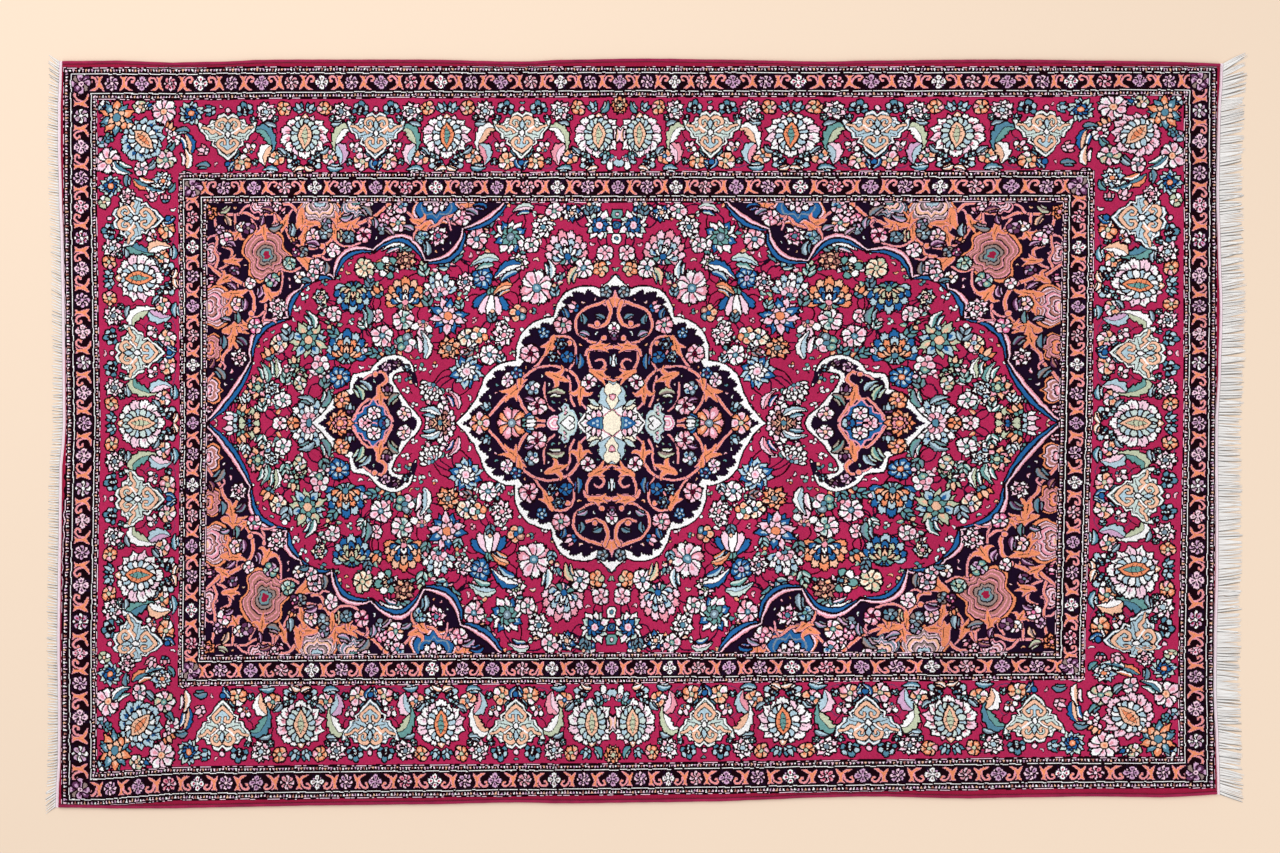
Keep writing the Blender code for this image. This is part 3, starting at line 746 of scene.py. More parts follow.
SPANDREL_FLOWERS = (
    (star, 402+211j, 8.5, 20, "OOS"), (rosette, 371+197j, 6, 0, "IPC"),
    (rosette, 364+195j, 6.5, 20, "MLE"), (leaf_pair, 387+213j, 6, 150, "YEL"),
    (leaf_pair, 384+203j, 6, 60, "CEL"), (rosette, 392+194j, 5, 0, "LPM"),
    (rosette, 386+184j, 7.5, 40, "PISF"), (leaf_pair, 381+180j, 5, 20, "LMZ"),
    (leaf_pair, 337+195j, 7, 160, "EZL"), (leaf_pair, 320+193j, 7, 90, "ZAM"),
    (bud, 319+183j, 4.5, 60, "CM"), (bud, 331+213j, 5, 150, "PM"), (rosette, 336+217j, 5, 0, "PSI"),
    (leaf_pair, 345+214j, 6, 10, "MWL"), (leaf_pair, 350+203j, 5, 100, "MLZ"),
    (rosette, 300+187j, 8, 30, "IPC"), (leaf_pair, 300+180j, 7, 10, "LMZ"),
    (rosette, 288+190j, 7, 0, "ZEA"), (rosette, 287+199j, 5.5, 0, "ZLZ"), (buds, 310+171j, 6, 0, "ZEZ"),
    (rosette, 323+160j, 7, 0, "VGY"), (rosette, 317+171j, 4.5, 0, "MFI"),
    (rosette, 280+173j, 7.5, 0, "IPP"), (rosette, 296+157j, 8, 40, "IPZ"),
    (leaf_pair, 286+155j, 6.5, 90, "EZT"), (rosette, 300+148j, 7, 0, "PIG"),
    (rosette, 313+146j, 6.5, 0, "IPC"), (leaf_pair, 307+143j, 5, 10, "TZG"),
    (leaf_pair, 272+187j, 6.5, 90, "YCS"), (rosette, 265+186j, 6.5, 0, "ZTA"),
    (leaf_pair, 267+205j, 7, 160, "LZE"), (leaf_pair, 247+213j, 8, 40, "EZL"),
    (rosette, 250+188j, 8.5, 20, "FSPD"), (rosette, 230+203j, 7, 0, "SFP"),
    (leaf_pair, 238+200j, 6, 80, "ZLT"), (rosette, 231+194j, 6, 0, "ZLA"),
    (leaf_pair, 224+193j, 6, 40, "ELZ"), (rosette, 223+212j, 5, 0, "PIS"),
    (rosette, 214+216j, 7.5, 0, "PPAT"), (rosette, 216+200j, 9.5, 90, "PICG"),
    (leaf_pair, 205+196j, 6, 20, "ZLE"), (rosette, 191+185j, 8, 0, "ZTAG"),
    (leaf_pair, 186+175j, 8, 80, "ZAT"), (star, 176+187j, 11, 30, "IPSFT"),
    (rosette, 153+205j, 9, 0, "PISF"), (leaf_pair, 143+212j, 7, 20, "LZM"),
    (leaf_pair, 135+217j, 7, 10, "BNL"), (rosette, 340+143j, 8, 0, "VLGL"),
    (rosette, 374+119j, 8, 0, "IPC"), (leaf_pair, 367+119j, 7, 90, "MLZ"),
    (star, 335+115j, 10.5, 90, "PIS"), (rosette, 357+97j, 8, 0, "IPFG"),
    (leaf_pair, 380+138j, 6, 30, "MLE"), (leaf_pair, 352+131j, 6, 100, "LMZ"),
    (leaf_pair, 374+106j, 6, 90, "ZGM"), (leaf_pair, 386+105j, 5, 10, "ZLM"),
    (leaf_pair, 370+83j, 7, 40, "ZME"), (leaf_pair, 388+82j, 7, 90, "ZTM"),
    (leaf_pair, 391+51j, 8, 50, "ZET"), (star, 373+66j, 9.5, 90, "IPS"),
    (leaf_pair, 399+60j, 5.5, 110, "MWL"), (rosette, 378+153j, 5.5, 0, "MLZ"),
    (bud, 400+145j, 5, 0, "FM"), (rosette, 402+14j, 4, 0, "PSD"), (rosette, 362+140j, 6, 0, "IPS"),
    (rosette, 246+222j, 6, 0, "PIS"),
)


def spandrel():
    """The navy corner of the field, behind a lobed double line, with arabesques and flowers."""
    line = arcs(*SPANDREL_LOBES)
    fill(np.append(line, [112+220j, FIELD_CORNER, FIELD_LENGTH]), N)
    # the line swells in every lobe: pink on its outer side, and blue on the field's side
    swell = np.sin(np.pi * (np.arange(len(line)) % ARC_PARTS) / ARC_PARTS)
    inward = 1j * np.gradient(line) / abs(np.gradient(line))
    for dye, side, low, high in ((B, 1, 1.2, 3.4), (S, -1, 1.2, 2.6)):
        shape(np.append(line, (line + side * inward * (low + high * swell))[::-1]), dye)
    stroke(line - inward * (0.6 + 1.0 * swell), P, 1.5)
    stroke(line, K, 0.9)
    for at, size, turn, letters in SHIELDS:
        shield(at, size, turn, letters)
    arabesques(SPANDREL_STEMS, SPANDREL_LEAVES, (291+177j, 226+218j, 367+139j, 361+110j))
    plant(SPANDREL_FLOWERS, SPANDREL_SCALE)
    plant(((peony, 179+222j, 12, -90, "IPSO"),))
    sprinkle(112+1j, 403+219j, 9, 3000, N, (3.2, 2.4, 1.8, 1.3))


# Borders

BAND_DYES = (K, N, K, R, K, N, K, X)
GUARD_BANDS, MINOR_BANDS, MAIN_BAND = (0, 2, 4, 6), (1, 5), 3
# The teeth of the guard bands: dyes in turn, pitch, half width, and both ends as shares of the band
TOOTH_DYES = (P, I, W, P, I, L, P, C)
TOOTH_PITCH = 3.0
TOOTH_HALF = 1.05
TOOTH_FOOT, TOOTH_TIP = -0.36, 0.32


def ground(k):
    """Fill band k, which lies between lines k and k + 1."""
    (end, far_end), (side, far_side) = END_LINES[k:k + 2], SIDE_LINES[k:k + 2]
    corner = complex(far_end, far_side)
    fill([side * 1j, complex(far_end, side), corner, far_side * 1j], BAND_DYES[k])
    fill([end, far_end, corner, complex(end, far_side)], BAND_DYES[k])


def bars(k):
    """The middle and the half width of band k, along the rug's side and then along its end."""
    pairs = (SIDE_LINES[k:k + 2], END_LINES[k:k + 2])
    return [((low + high) / 2, (high - low) / 2) for low, high in pairs]


def runs(k):
    """Both parts of band k: middle, half width, length, and the directions along it and outwards."""
    side, end = bars(k)
    return (*side, end[0], 1, 1j), (*end, side[0], 1j, 1)


def rail(k, sign, inset, dye, width):
    """A line along both parts of band k, just inside its outer or its inner edge."""
    side, end = (middle + sign * (half - inset) for middle, half in bars(k))
    stroke([side * 1j, complex(end, side), end], dye, width)


def guard(k):
    """A row of teeth that point to the minor border, between two pale lines."""
    ground(k)
    to_minor = 1 if k + 1 in MINOR_BANDS else -1
    for middle, half, length, along, out in runs(k):
        count = int(round(length / TOOTH_PITCH))
        foot, tip = TOOTH_FOOT * to_minor * half * out, TOOTH_TIP * to_minor * half * out
        for i in range(count + 1):
            at = along * (i * length / count) + out * middle
            low, high = at - TOOTH_HALF * along + foot, at + TOOTH_HALF * along + foot
            fill([low, high, at + tip], TOOTH_DYES[i % len(TOOTH_DYES)])
    rail(k, to_minor, 0.9, I, 0.7)
    rail(k, -to_minor, 0.9, P, 0.45)


# A minor border's half width and flower pitch, and the dyes of its flowers and their spots in turn
MINOR_HALF_WIDTH = 8.5
FLOWER_PITCH = 30.0
MINOR_DYES = ((L, P), (P, L), (I, L), (P, S))
MINOR_HEARTS = (M, E, M, R)
# Half a repeat of a minor border, from a flower to the next one: the hook and the body it grows from
UNIT_PITCH = 31.0
HOOK = (
    16.4-4.6j, 16.0+0.6j, 14.2+4.4j, 11.2+6.0j, 8.2+5.0j, 8.2+2.2j, 10.2+1.6j,
)
BODY = (
    15.6+6.8j, 17.4+4.6j, 17.2+0.8j, 15.6-2.8j, 12.6-5.0j, 9.8-6.8j, 14.4-6.4j, 18.0-3.4j, 19.6-4.6j,
    22.6-6.8j, 21.8-3.6j, 20.4-0.2j, 19.8+3.2j, 21.8+6.8j, 18.6+5.8j,
)


def minor_unit(z):
    """An arabesque hook and the body it grows from, drawn through a function that places points."""
    fill(z([4.6+8j, 6.4+2j, 5.0-8j, 24.6-8j, 23.0-2j, 24.0+8j]), K)
    branch((1.6, 2.4), *z(HOOK))
    shape(z(smooth(BODY, True, 2)), O, S, 0.5)


def hollow_flower(at, size, count, dyes, heart):
    """A flower of four or eight hollow blunt petals."""
    disc(at, 7.4 * size, K)
    width = (4.2 if count == 8 else 5.6) * size
    for i in range(8):
        out = size * way(45 * i)
        if count == 8 or i % 2 == 0:
            petal(at + 1.4 * out, at + 7.5 * out, width, dyes[i % 2], heart, True)
        else:
            disc(at + 5.6 * out, 1.1 * size, dyes[1])
    disc(at, 1.5 * size, dyes[0], K, 0.5)


def minor(k):
    """A minor border: flowers in turn on navy, with arabesque hooks between them."""
    ground(k)
    for middle, half, length, along, out in runs(k):
        size = half / MINOR_HALF_WIDTH
        count = int(round(length / FLOWER_PITCH))
        pitch = length / count
        places = [along * (i * pitch) + out * middle for i in range(count + 1)]
        for i, at in enumerate(places):
            if i % 2 == (count + (k == 1)) % 2:
                for turn in (-1, 1)[:1 if i == count else 2]:
                    minor_unit(lambda points: at + along * turn * np.real(points) * pitch / UNIT_PITCH
                               + out * np.imag(points) * size)
        for i, at in enumerate(places):
            petals = 4 if i % 2 == count % 2 else 8
            hollow_flower(at, 0.88 * size, petals, MINOR_DYES[i % 4], MINOR_HEARTS[i // 2 % 4])
    for sign in (-1, 1):
        rail(k, sign, 0.5, K, 1.3)


def minor_corner(k):
    """The large flower in the corner of a minor border."""
    side, end = bars(k)
    at = complex(end[0], side[0])
    half = end[1] + side[1] * 1j
    fill([at - half, at - half.conjugate(), at + half, at + half.conjugate()], N)
    whorl(at, 1.0, 9.0, 8, 5.4, (L, E, L, M), 0.0, True, True)
    disc(at, 2.2, P, K, FINE_RIM)
    disc(at, 1.0, M)


# Directions and lengths of a round palmette's outer petals, from its top round one side to its foot
PALMETTE_PETALS = ((68, 20), (40, 21.5), (13, 23), (-14, 23.5), (-40, 22.5), (-66, 20.5), (-90, 22.5))


def round_palmette(z, outer, spot, ring, heart):
    """A full-blown flower seen from the front, pointed at its foot, drawn about 50 points across."""
    petals = []
    for angle, reach in PALMETTE_PETALS:
        petals.append((angle, reach))
        if angle != -90:
            petals.append((180 - angle, reach))
    for i, (angle, reach) in enumerate(petals):
        petal(z(way(angle) * 8.5), z(way(angle) * reach), 10.4, outer[i % len(outer)], spot, i % 2 == 0)
        stroke(z(way(angle) * np.array([reach - 7.0, reach - 3.0])), K, 0.8)
    shape(z([-3.8+16.6j, -1.6+20.4j, 21.6j, 1.6+20.4j, 3.8+16.6j, 14.4j]), C)
    disc(z(18.4j), 1.2, I)
    for i in range(16):
        out = way(22.5 * i + 11)
        foot, tip = out.real * 5 + out.imag * 7j, out.real * 13.6 + out.imag * 16j
        petal(z(foot), z(tip), 5.6, ring[i % len(ring)], None, True)
    shape(z([11.9j, 4.6+7.0j, 6.6+0.0j, 4.4-7.5j, -13.8j, -4.4-7.5j, -6.6, -4.6+7.0j]), heart[0])
    shape(z([8.4j, 2.1+3.4j, 2.8, 1.6-5.5j, -9.8j, -1.6-5.5j, -2.8, -2.1+3.4j]), heart[1], K, 0.5)
    for level in (4.5, 0.5, -3.5):
        stroke(z([-4.4 + (level + 1.5) * 1j, level * 1j, 4.4 + (level + 1.5) * 1j]), K, 0.7)


def scroll_palmette(z, body, scroll, heart):
    """A shield of arabesque hooks, pointed at its foot, drawn about 52 points across."""
    half = (19.6j, 4.0+23.0j, 9.0+21.0j, 11.0+16.0j, 15.6+16.6j, 17.4+12.0j, 21.0+10.4j, 28.4+14.4j,
            26.0+5.6j, 21.0+1.4j, 20.0-3.4j, 14.0-3.6j, 15.6-8.6j, 10.4-11.6j, 8.0-17.0j, -24.0j)
    outline = np.array(half + tuple(complex(-p.real, p.imag) for p in reversed(half[1:-1])))
    closed = np.append(outline, outline[:1])
    stroke(z(closed), K, 3.0)
    fill(z(outline), body)
    stroke(z(closed * 0.95), I, 1.2)
    stroke(z(closed * 0.86), K, 0.9)
    curl = smooth([1.6+15.0j, 5.0+17.2j, 9.4+15.6j, 11.0+11.6j, 8.6+7.8j, 5.2+9.0j, 5.6+11.8j])
    horn = smooth([7.6+2.8j, 11.2+6.6j, 15.0+4.4j, 19.0+7.8j, 24.4+9.0j])
    arm = smooth([-16.8j, 5.6-12.6j, 9.4-8.2j, 6.8-3.8j, 3.2-4.4j, 2.8-7.6j])

    def on_side(side, points):
        return z(side * np.real(points) + 1j * np.imag(points))

    for side in (1, -1):
        for width, dye in (((4.8, 3.6), K), ((3.2, 2.0), scroll)):
            stroke(on_side(side, curl), dye, width)
            stroke(on_side(side, horn), dye, width)
        stroke(on_side(side, [-11.4+8.4j, 2.0-1.0j, 11.6-7.6j]), K, 3.4)
        stroke(on_side(side, [3.0+2.6j, 10.0+0.4j, 16.0-1.0j]), K, 0.8)
        disc(on_side(side, 14.8+11.8j), 1.3, I, K, 0.5)
    for side in (1, -1):
        stroke(on_side(side, [-11.4+8.4j, 0.6-0.6j, 11.0-7.2j]), I, 1.7)
    fill(z([-2.4j, 7.4-8.2j, -16.0j, -7.4-8.2j]), heart)
    for width, dye in (((4.6, 3.8), K), ((3.0, 2.0), scroll)):
        for side in (1, -1):
            stroke(on_side(side, arm), dye, width)
    petal(z(-1.0j), z(4.6j), 4.6, I)
    petal(z(6.4j), z(14.0j), 4.0, heart)


# The usual length between two palmettes, and how much wider the main border is at the rug's ends
PART_LENGTH = 74.0
END_STRETCH = 1.08
# The stems in a part between two palmettes: dye and places
BORDER_STEMS = (
    (M, 12+27j, 30+31j, 50+25j, 62+30j), (M, 20-16j, 34-18j, 46-6j, 50-4j), (M, 40-30j, 50-34j, 58-30j),
    (K, 44+8j, 46-2j, 52-8j, 50-16j), (K, 25+20j, 28+10j, 26+2j),
)
# Dyes in the parts between palmettes, from the middle of a side to its corner
TONES = ("IYSPOBA", "ICSACZA", "YGPASTZ", "YIALPGZ", "GTICOGA", "BCIPCTY")


def border_half(z, letters):
    """What stands between a round palmette at 0 and a scroll palmette at PART_LENGTH."""
    leaf_one, leaf_two, low_one, low_two = dyes_of(letters[:4])
    bloom, eye, far = letters[4:]
    for dye, *places in BORDER_STEMS:
        stroke(smooth(z(places)), dye, 1.0)
    turned = math.degrees(np.angle(z(1.0) - z(0.0)))
    sign = 1 if (np.conj(z(1.0) - z(0.0)) * (z(1j) - z(0.0))).imag > 0 else -1
    rows = (
        (bud, 6+28j, 6, 60, "TA"), (rosette, 20+27j, 7.8, 0, "COCSY"),
        (star, 37.4+24j, 11.2, 80, "IPI" + far), (lotus, 58+27j, 8.5, 80, "TATIA"),
        (bud, 49.6+17j, 3.4, 90, "TG"), (buds, 28.4+17j, 3.4, 0, "GZI"), (leaf_pair, 34+11j, 7, 10, "ZAI"),
        (rosette, 26.4-22j, 9, 100, bloom + "IC" + eye), (leaf_pair, 32-33.4j, 8, 0, "TAI"),
        (peony, 53-13j, 7.5, 60, "IPS" + bloom), (bud, 47.6-27j, 3.6, -60, "TG"),
        (rosette, 60.4-26.4j, 10, 60, bloom + "ICY"), (leaf_pair, 67-18j, 6, -50, "TGA"),
        (leaf_pair, 71-30j, 6, -60, "BAI"), (lotus, 10-28.5j, 8.5, -30, "AIBIT"),
        (bud, 14.2-20j, 3.4, 40, "TG"), (leaf_pair, 5-34j, 5.6, -20, "CIS"),
        (leaf_pair, 21-15.6j, 5.6, 40, "ZAT"),
    )
    for motif, at, size, turn, dyes in rows:
        motif(complex(z(at)), BORDER_SCALE * size, turned + sign * turn, dyes)
    leaf(z([48+6j, 40+6.4j, 34-1j, 31.6-10j, 32-17j]), 11.5, leaf_one, leaf_two, teeth=6)
    leaf(z([33-10j, 38-15j, 40-22j, 38-30j]), 11.5, low_one, low_two, teeth=4)


def run_place(on_end, start, length, sign):
    """A function from points along and out of a part of the main border to the chart."""
    (side, _), (end, _) = bars(MAIN_BAND)

    def place(points):
        points = np.asarray(points, complex)
        along = start + sign * points.real * length / PART_LENGTH
        if on_end:
            return (end + points.imag * END_STRETCH) + 1j * along
        return along + 1j * (side + points.imag)
    return place


# The palmettes' places from the middle of a long side and of a short end, round ones and scrolls in turn
PALMETTES = ((False, (21, 97, 170.5, 240.5, 310.5, 386)), (True, (0, 72, 146, 205.5)))
# The rings and hearts of the round palmettes in turn
ROUND_DYES = (((A, V), (C, Y)), ((A, I), (O, G)))
# What stands between the main border's middle palmettes, and in its corner
MIDDLE_FLOWERS = (
    (star, 0+318j, 8.5, 0, "OCY"), (peony, 8+262j, 9, -80, "AIPS"), (leaf_pair, 14+315j, 6, 120, "TGI"),
    (bud, 14+267j, 4.5, -60, "TG"), (leaf_pair, 2+288j, 6, 90, "PCI"),
)
CORNER_FLOWERS = (
    (leaf_pair, 423+284j, 11, 70, "BCI"), (leaf_pair, 424+266j, 9, 84, "ICP"),
    (leaf_pair, 468+240j, 11, 200, "OTI"), (leaf_pair, 456+234j, 9, 190, "ITG"),
    (rosette, 448.5+314.5j, 12, 22, "PIC"), (rosette, 503+265j, 12, 0, "PIC"),
    (dahlia, 421+312.5j, 11.5, 90, "AVBO"), (dahlia, 501+239j, 11.5, 60, "AVBO"),
    (rosette, 507.5+319j, 6, 0, "AIB"), (rosette, 472.5+319.5j, 6.5, 0, "YIC"),
    (bud, 464+320j, 4, 150, "AI"), (rosette, 509.5+284j, 5.4, 0, "ALT"), (buds, 503+288j, 4.6, 0, "TGT"),
    (rosette, 438+288j, 7, 0, "IIR"), (rosette, 470.5+257j, 7, 0, "IPZ"),
    (bud, 441.5+299j, 5.4, 120, "OP"), (leaf_pair, 440.5+278j, 5.5, 130, "TGZ"),
    (leaf_pair, 459+260j, 5.5, 130, "ZAT"), (rosette, 446+266j, 9.5, 90, "YPIG"),
    (leaf_pair, 490.5+257j, 10, 210, "ITG"), (leaf_pair, 485.5+245j, 6, 270, "ZTA"),
    (star, 448.5+244j, 9.4, 60, "AIO"), (bud, 410+275j, 5.6, 20, "SP"), (bud, 459.5+228j, 5.6, 70, "SP"),
    (leaf_pair, 429+296j, 6, 0, "ZTA"), (bud, 404+315j, 5.4, 0, "TA"),
    (leaf_pair, 409+260j, 6, 0, "TZG"), (leaf_pair, 439+236j, 5, 120, "TGZ"),
    (bud, 446+226j, 4.4, 90, "PT"), (star, 495.5+308.5j, 17, 20, "OTSGCT"),
    (rosette, 425+246j, 7, 0, "PIT"), (star, 484+228j, 8, 0, "IPS"), (rosette, 507+222j, 6, 0, "YIC"),
)


def main_border():
    """Round palmettes and scroll palmettes in turn on crimson, with flowers between them."""
    ground(MAIN_BAND)
    for on_end, marks in PALMETTES:
        for i, (low, high) in enumerate(zip(marks, marks[1:])):
            start, sign = (high, -1) if i % 2 else (low, 1)
            border_half(run_place(on_end, start, high - low, sign), TONES[(i + 2 * on_end) % len(TONES)])
        for i, mark in enumerate(marks):
            z = run_place(on_end, mark, PART_LENGTH, 1)
            if i % 2:
                scroll_palmette(z, (A, V, V)[i % 3], C, A)
                disc(z(-28j), 2.4, B, K)
                disc(z(26.0j), 2.0, P, K)
            else:
                round_palmette(z, (I, P, I), (P, S, P)[i % 3], *ROUND_DYES[i // 2 % 2])
    plant(MIDDLE_FLOWERS + CORNER_FLOWERS)
    round_palmette(pose(469.5+287j, -45, 0.98), (U, U, U), Q, (I, A), (C, O))
    for low, high, seed in ((1+253j, 433+325j, 5), (435+1j, 513+325j, 6)):
        sprinkle(low, high, seed, 1100)


main_border()
field()
medallion()
pendant()
spandrel()
for band in MINOR_BANDS:
    minor(band)
    minor_corner(band)
for band in GUARD_BANDS:
    guard(band)


# Places along the rug on the chart, in points from its middle, minus to the left
ALONG = (
    -549, -546, -514, -470, -433.5, -404, -386, -310.5, -299, -240.5, -170.5, -152, -97, 0, 97, 152,
    170.5, 240.5, 299, 310.5, 386, 404, 433.5, 470, 514, 546, 549,
)
# The same places in the photograph, in pixels, at some heights in it
ALONG_IN_PHOTO = {
    135: (62, 64, 97.5, 143, 178, 209, 228, 305, 317, 376, 447, 466, 522, 620,
          710, 771, 791, 877.5, 944, 957, 1047, 1062, 1095, 1139, 1183.5, 1216.5, 1218),
    215: (62, 64, 97.5, 141, 178, 208, 226.5, 302.5, 314.5, 373.5, 444, 463, 519, 617,
          713, 770, 789, 868, 937, 950, 1041, 1062, 1095, 1136, 1183.5, 1216.5, 1218),
    423: (65.5, 67, 101, 144, 179.5, 207.5, 226, 301.5, 313, 371.5, 441.5, 460, 515, 612,
          706, 761, 782, 863, 931, 944.5, 1036, 1058.5, 1093, 1133, 1183, 1215.5, 1217),
    652: (60.5, 62, 97.3, 141, 177.5, 205.5, 224, 300.5, 312, 371, 441.5, 460, 515, 611.5,
          706, 762, 781, 861, 930, 943, 1033, 1054, 1085.5, 1130, 1178, 1213.5, 1215),
    725: (60.2, 62, 97.3, 139, 177, 205, 222, 301, 312.5, 370, 441, 460, 516, 613,
          704, 763, 783, 869, 938, 951, 1035, 1054, 1085.5, 1131, 1178, 1214.5, 1216),
}
# Places across the rug on the chart, in points from its middle, plus towards the photograph's top
ACROSS = (
    -364, -357, -325.5, -288, -252, -220, -206, -147, -73, 0, 73, 147, 206, 220, 252, 288, 325.5, 357,
    364,
)
# The same places in the photograph as heights above its middle row, at some places along it
MIDDLE_ROW = 423
ACROSS_IN_PHOTO = {
    97: (-385.4, -384, -349, -304, -264, -232.3, -222, -153, -77, 0,
         71, 146, 205, 219.3, 248.3, 285, 322.5, 356, 363),
    177: (-386.6, -378, -343.3, -303, -263.5, -232.3, -221, -153, -77, 0,
          71.5, 146, 205, 219.5, 250, 285, 322.5, 356, 363),
    300: (-383.5, -376.5, -342, -301, -263, -231, -216, -150, -74, 0,
          73, 147, 206, 220, 251, 287, 324, 357, 364),
    612: (-380.5, -372.5, -340, -300, -261, -229, -213, -148, -73, 0,
          73, 147, 206, 220, 252, 288, 325.5, 357, 364),
    1058: (-375, -366, -333.7, -295, -257.2, -228.5, -213, -149, -73, 0,
           73, 147, 206, 220.5, 253, 289, 326, 357, 363),
    1140: (-374, -365.5, -333.5, -295, -257, -228.5, -222, -147, -74, 0,
           71, 138, 206, 221, 254, 291, 327, 357, 362),
}


def blend(at, tables, x, marks):
    """Where x lies among the marks, by the tables on both sides of a place."""
    stations = sorted(tables)
    at = np.clip(at, stations[0], stations[-1])
    found = np.zeros(np.shape(x))
    for i, station in enumerate(stations):
        weight = np.interp(at, stations, np.eye(len(stations))[i])
        found += weight * np.interp(x, tables[station], marks)
    return found


def photo_to_chart(x, y):
    """The chart's point under a pixel: the borders wander in the photograph, as woven by hand."""
    return blend(y, ALONG_IN_PHOTO, x, ALONG), blend(x, ACROSS_IN_PHOTO, MIDDLE_ROW - y, ACROSS)


# The rug's plan, in metres, from the same rows as its solids

METRES_PER_PIXEL = 0.0018
# The photograph's size, and its pixel over the middle of the rug's rows of edges
PHOTO_WIDTH, PHOTO_HEIGHT = 1280, 853
RUG_COLUMN, RUG_ROW = 640, 431
PILE_LENGTH = 2.080
RUG_WIDTH = 1.336
STATIONS_ALONG = 42
STATIONS_ACROSS = 35
PILE_HEIGHT = 0.0085
PILE_SIDE_HEIGHT = 0.0055
PILE_ROUNDING = 0.004
PILE_RIPPLE = 0.0005
RIPPLE_LENGTH = 0.31
RIPPLE_BEND, RIPPLE_STRETCH = 0.8, 0.7
SELVEDGE_WIDTH = 0.0065
KILIM_WIDTH = 0.0055
KILIM_THICKNESS = 0.003
GAP = 0.0003
LEFT_FRINGE_LENGTH = 0.018
RIGHT_FRINGE_LENGTH = 0.041

# Place along the rug, upper edge, lower edge
LONG_EDGES = np.array((
    (-1.040, 0.6669, -0.6786), (-0.936, 0.6678, -0.6804), (-0.846, 0.6642, -0.6804),
    (-0.756, 0.6660, -0.6786), (-0.666, 0.6696, -0.6768), (-0.576, 0.6696, -0.6750),
    (-0.396, 0.6696, -0.6732), (-0.216, 0.6660, -0.6696), (-0.126, 0.6696, -0.6714),
    (0.009, 0.6714, -0.6696), (0.144, 0.6696, -0.6678), (0.234, 0.6678, -0.6642),
    (0.324, 0.6660, -0.6606), (0.414, 0.6678, -0.6588), (0.594, 0.6696, -0.6624),
    (0.684, 0.6696, -0.6606), (0.819, 0.6678, -0.6588), (0.954, 0.6660, -0.6606),
    (1.040, 0.6624, -0.6552),
))
# Place across the rug, left end, right end
SHORT_ENDS = np.array((
    (-0.657, -1.0476, 1.0395), (-0.574, -1.0436, 1.0373), (-0.484, -1.0433, 1.0330),
    (-0.376, -1.0449, 1.0341), (-0.268, -1.0438, 1.0366), (-0.160, -1.0420, 1.0368),
    (-0.052, -1.0408, 1.0359), (0.002, -1.0345, 1.0359), (0.110, -1.0354, 1.0415),
    (0.218, -1.0363, 1.0444), (0.326, -1.0382, 1.0409), (0.434, -1.0415, 1.0379),
    (0.515, -1.0436, 1.0395), (0.596, -1.0433, 1.0413), (0.650, -1.0408, 1.0453),
))
# Place across the rug, lean of the left and of the right fringe towards +Y, in degrees
FRINGE_LEAN = np.array((
    (-0.668, -38.0, -26.0), (-0.620, -14.0, -10.0), (-0.450, 6.0, -4.0), (-0.250, 9.0, 5.0),
    (0.000, -4.0, -3.0), (0.250, 24.0, 8.0), (0.450, 10.0, 7.0), (0.600, 16.0, 12.0),
    (0.668, 38.0, 32.0),
))


def eased(table, column, at):
    """A column's value between two rows, eased so that the edge has no kinks."""
    low = np.clip(np.searchsorted(table[:, 0], at) - 1, 0, len(table) - 2)
    share = np.clip((at - table[low, 0]) / (table[low + 1, 0] - table[low, 0]), 0, 1)
    share = share * share * (3 - 2 * share)
    return table[low, column] * (1 - share) + table[low + 1, column] * share


def edge(table, column, share, stations, side):
    """The edge at a share of a side, straight between the stations at which the solids have points."""
    marks = np.arange(stations + 1) / stations
    return np.interp(share, marks, eased(table, column, (marks - 0.5) * side))


def flat_plan(along, across):
    """The place in the rows' own frame, from shares along and across the rug."""
    left = edge(SHORT_ENDS, 1, across, STATIONS_ACROSS, RUG_WIDTH)
    right = edge(SHORT_ENDS, 2, across, STATIONS_ACROSS, RUG_WIDTH)
    upper = edge(LONG_EDGES, 1, along, STATIONS_ALONG, PILE_LENGTH)
    lower = edge(LONG_EDGES, 2, along, STATIONS_ALONG, PILE_LENGTH)
    return left + (right - left) * along, lower + (upper - lower) * across


MARKS = np.linspace(0, 1, STATIONS_ACROSS + 1)
SHIFT_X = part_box("kilim_left")[0].x + GAP + KILIM_WIDTH - flat_plan(0.0 * MARKS, MARKS)[0].min()
LOWER_EDGE = eased(LONG_EDGES, 2, (np.arange(STATIONS_ALONG + 1) / STATIONS_ALONG - 0.5) * PILE_LENGTH)
SHIFT_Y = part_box("selvedge_lower")[0].y - LOWER_EDGE.min()


def plan(along, across):
    """The place in the shared frame, from shares along and across the rug."""
    x, y = flat_plan(along, across)
    return x + SHIFT_X, y + SHIFT_Y


# Nodes of the materials

# Yarn hardly shines
SPECULAR = 0.06


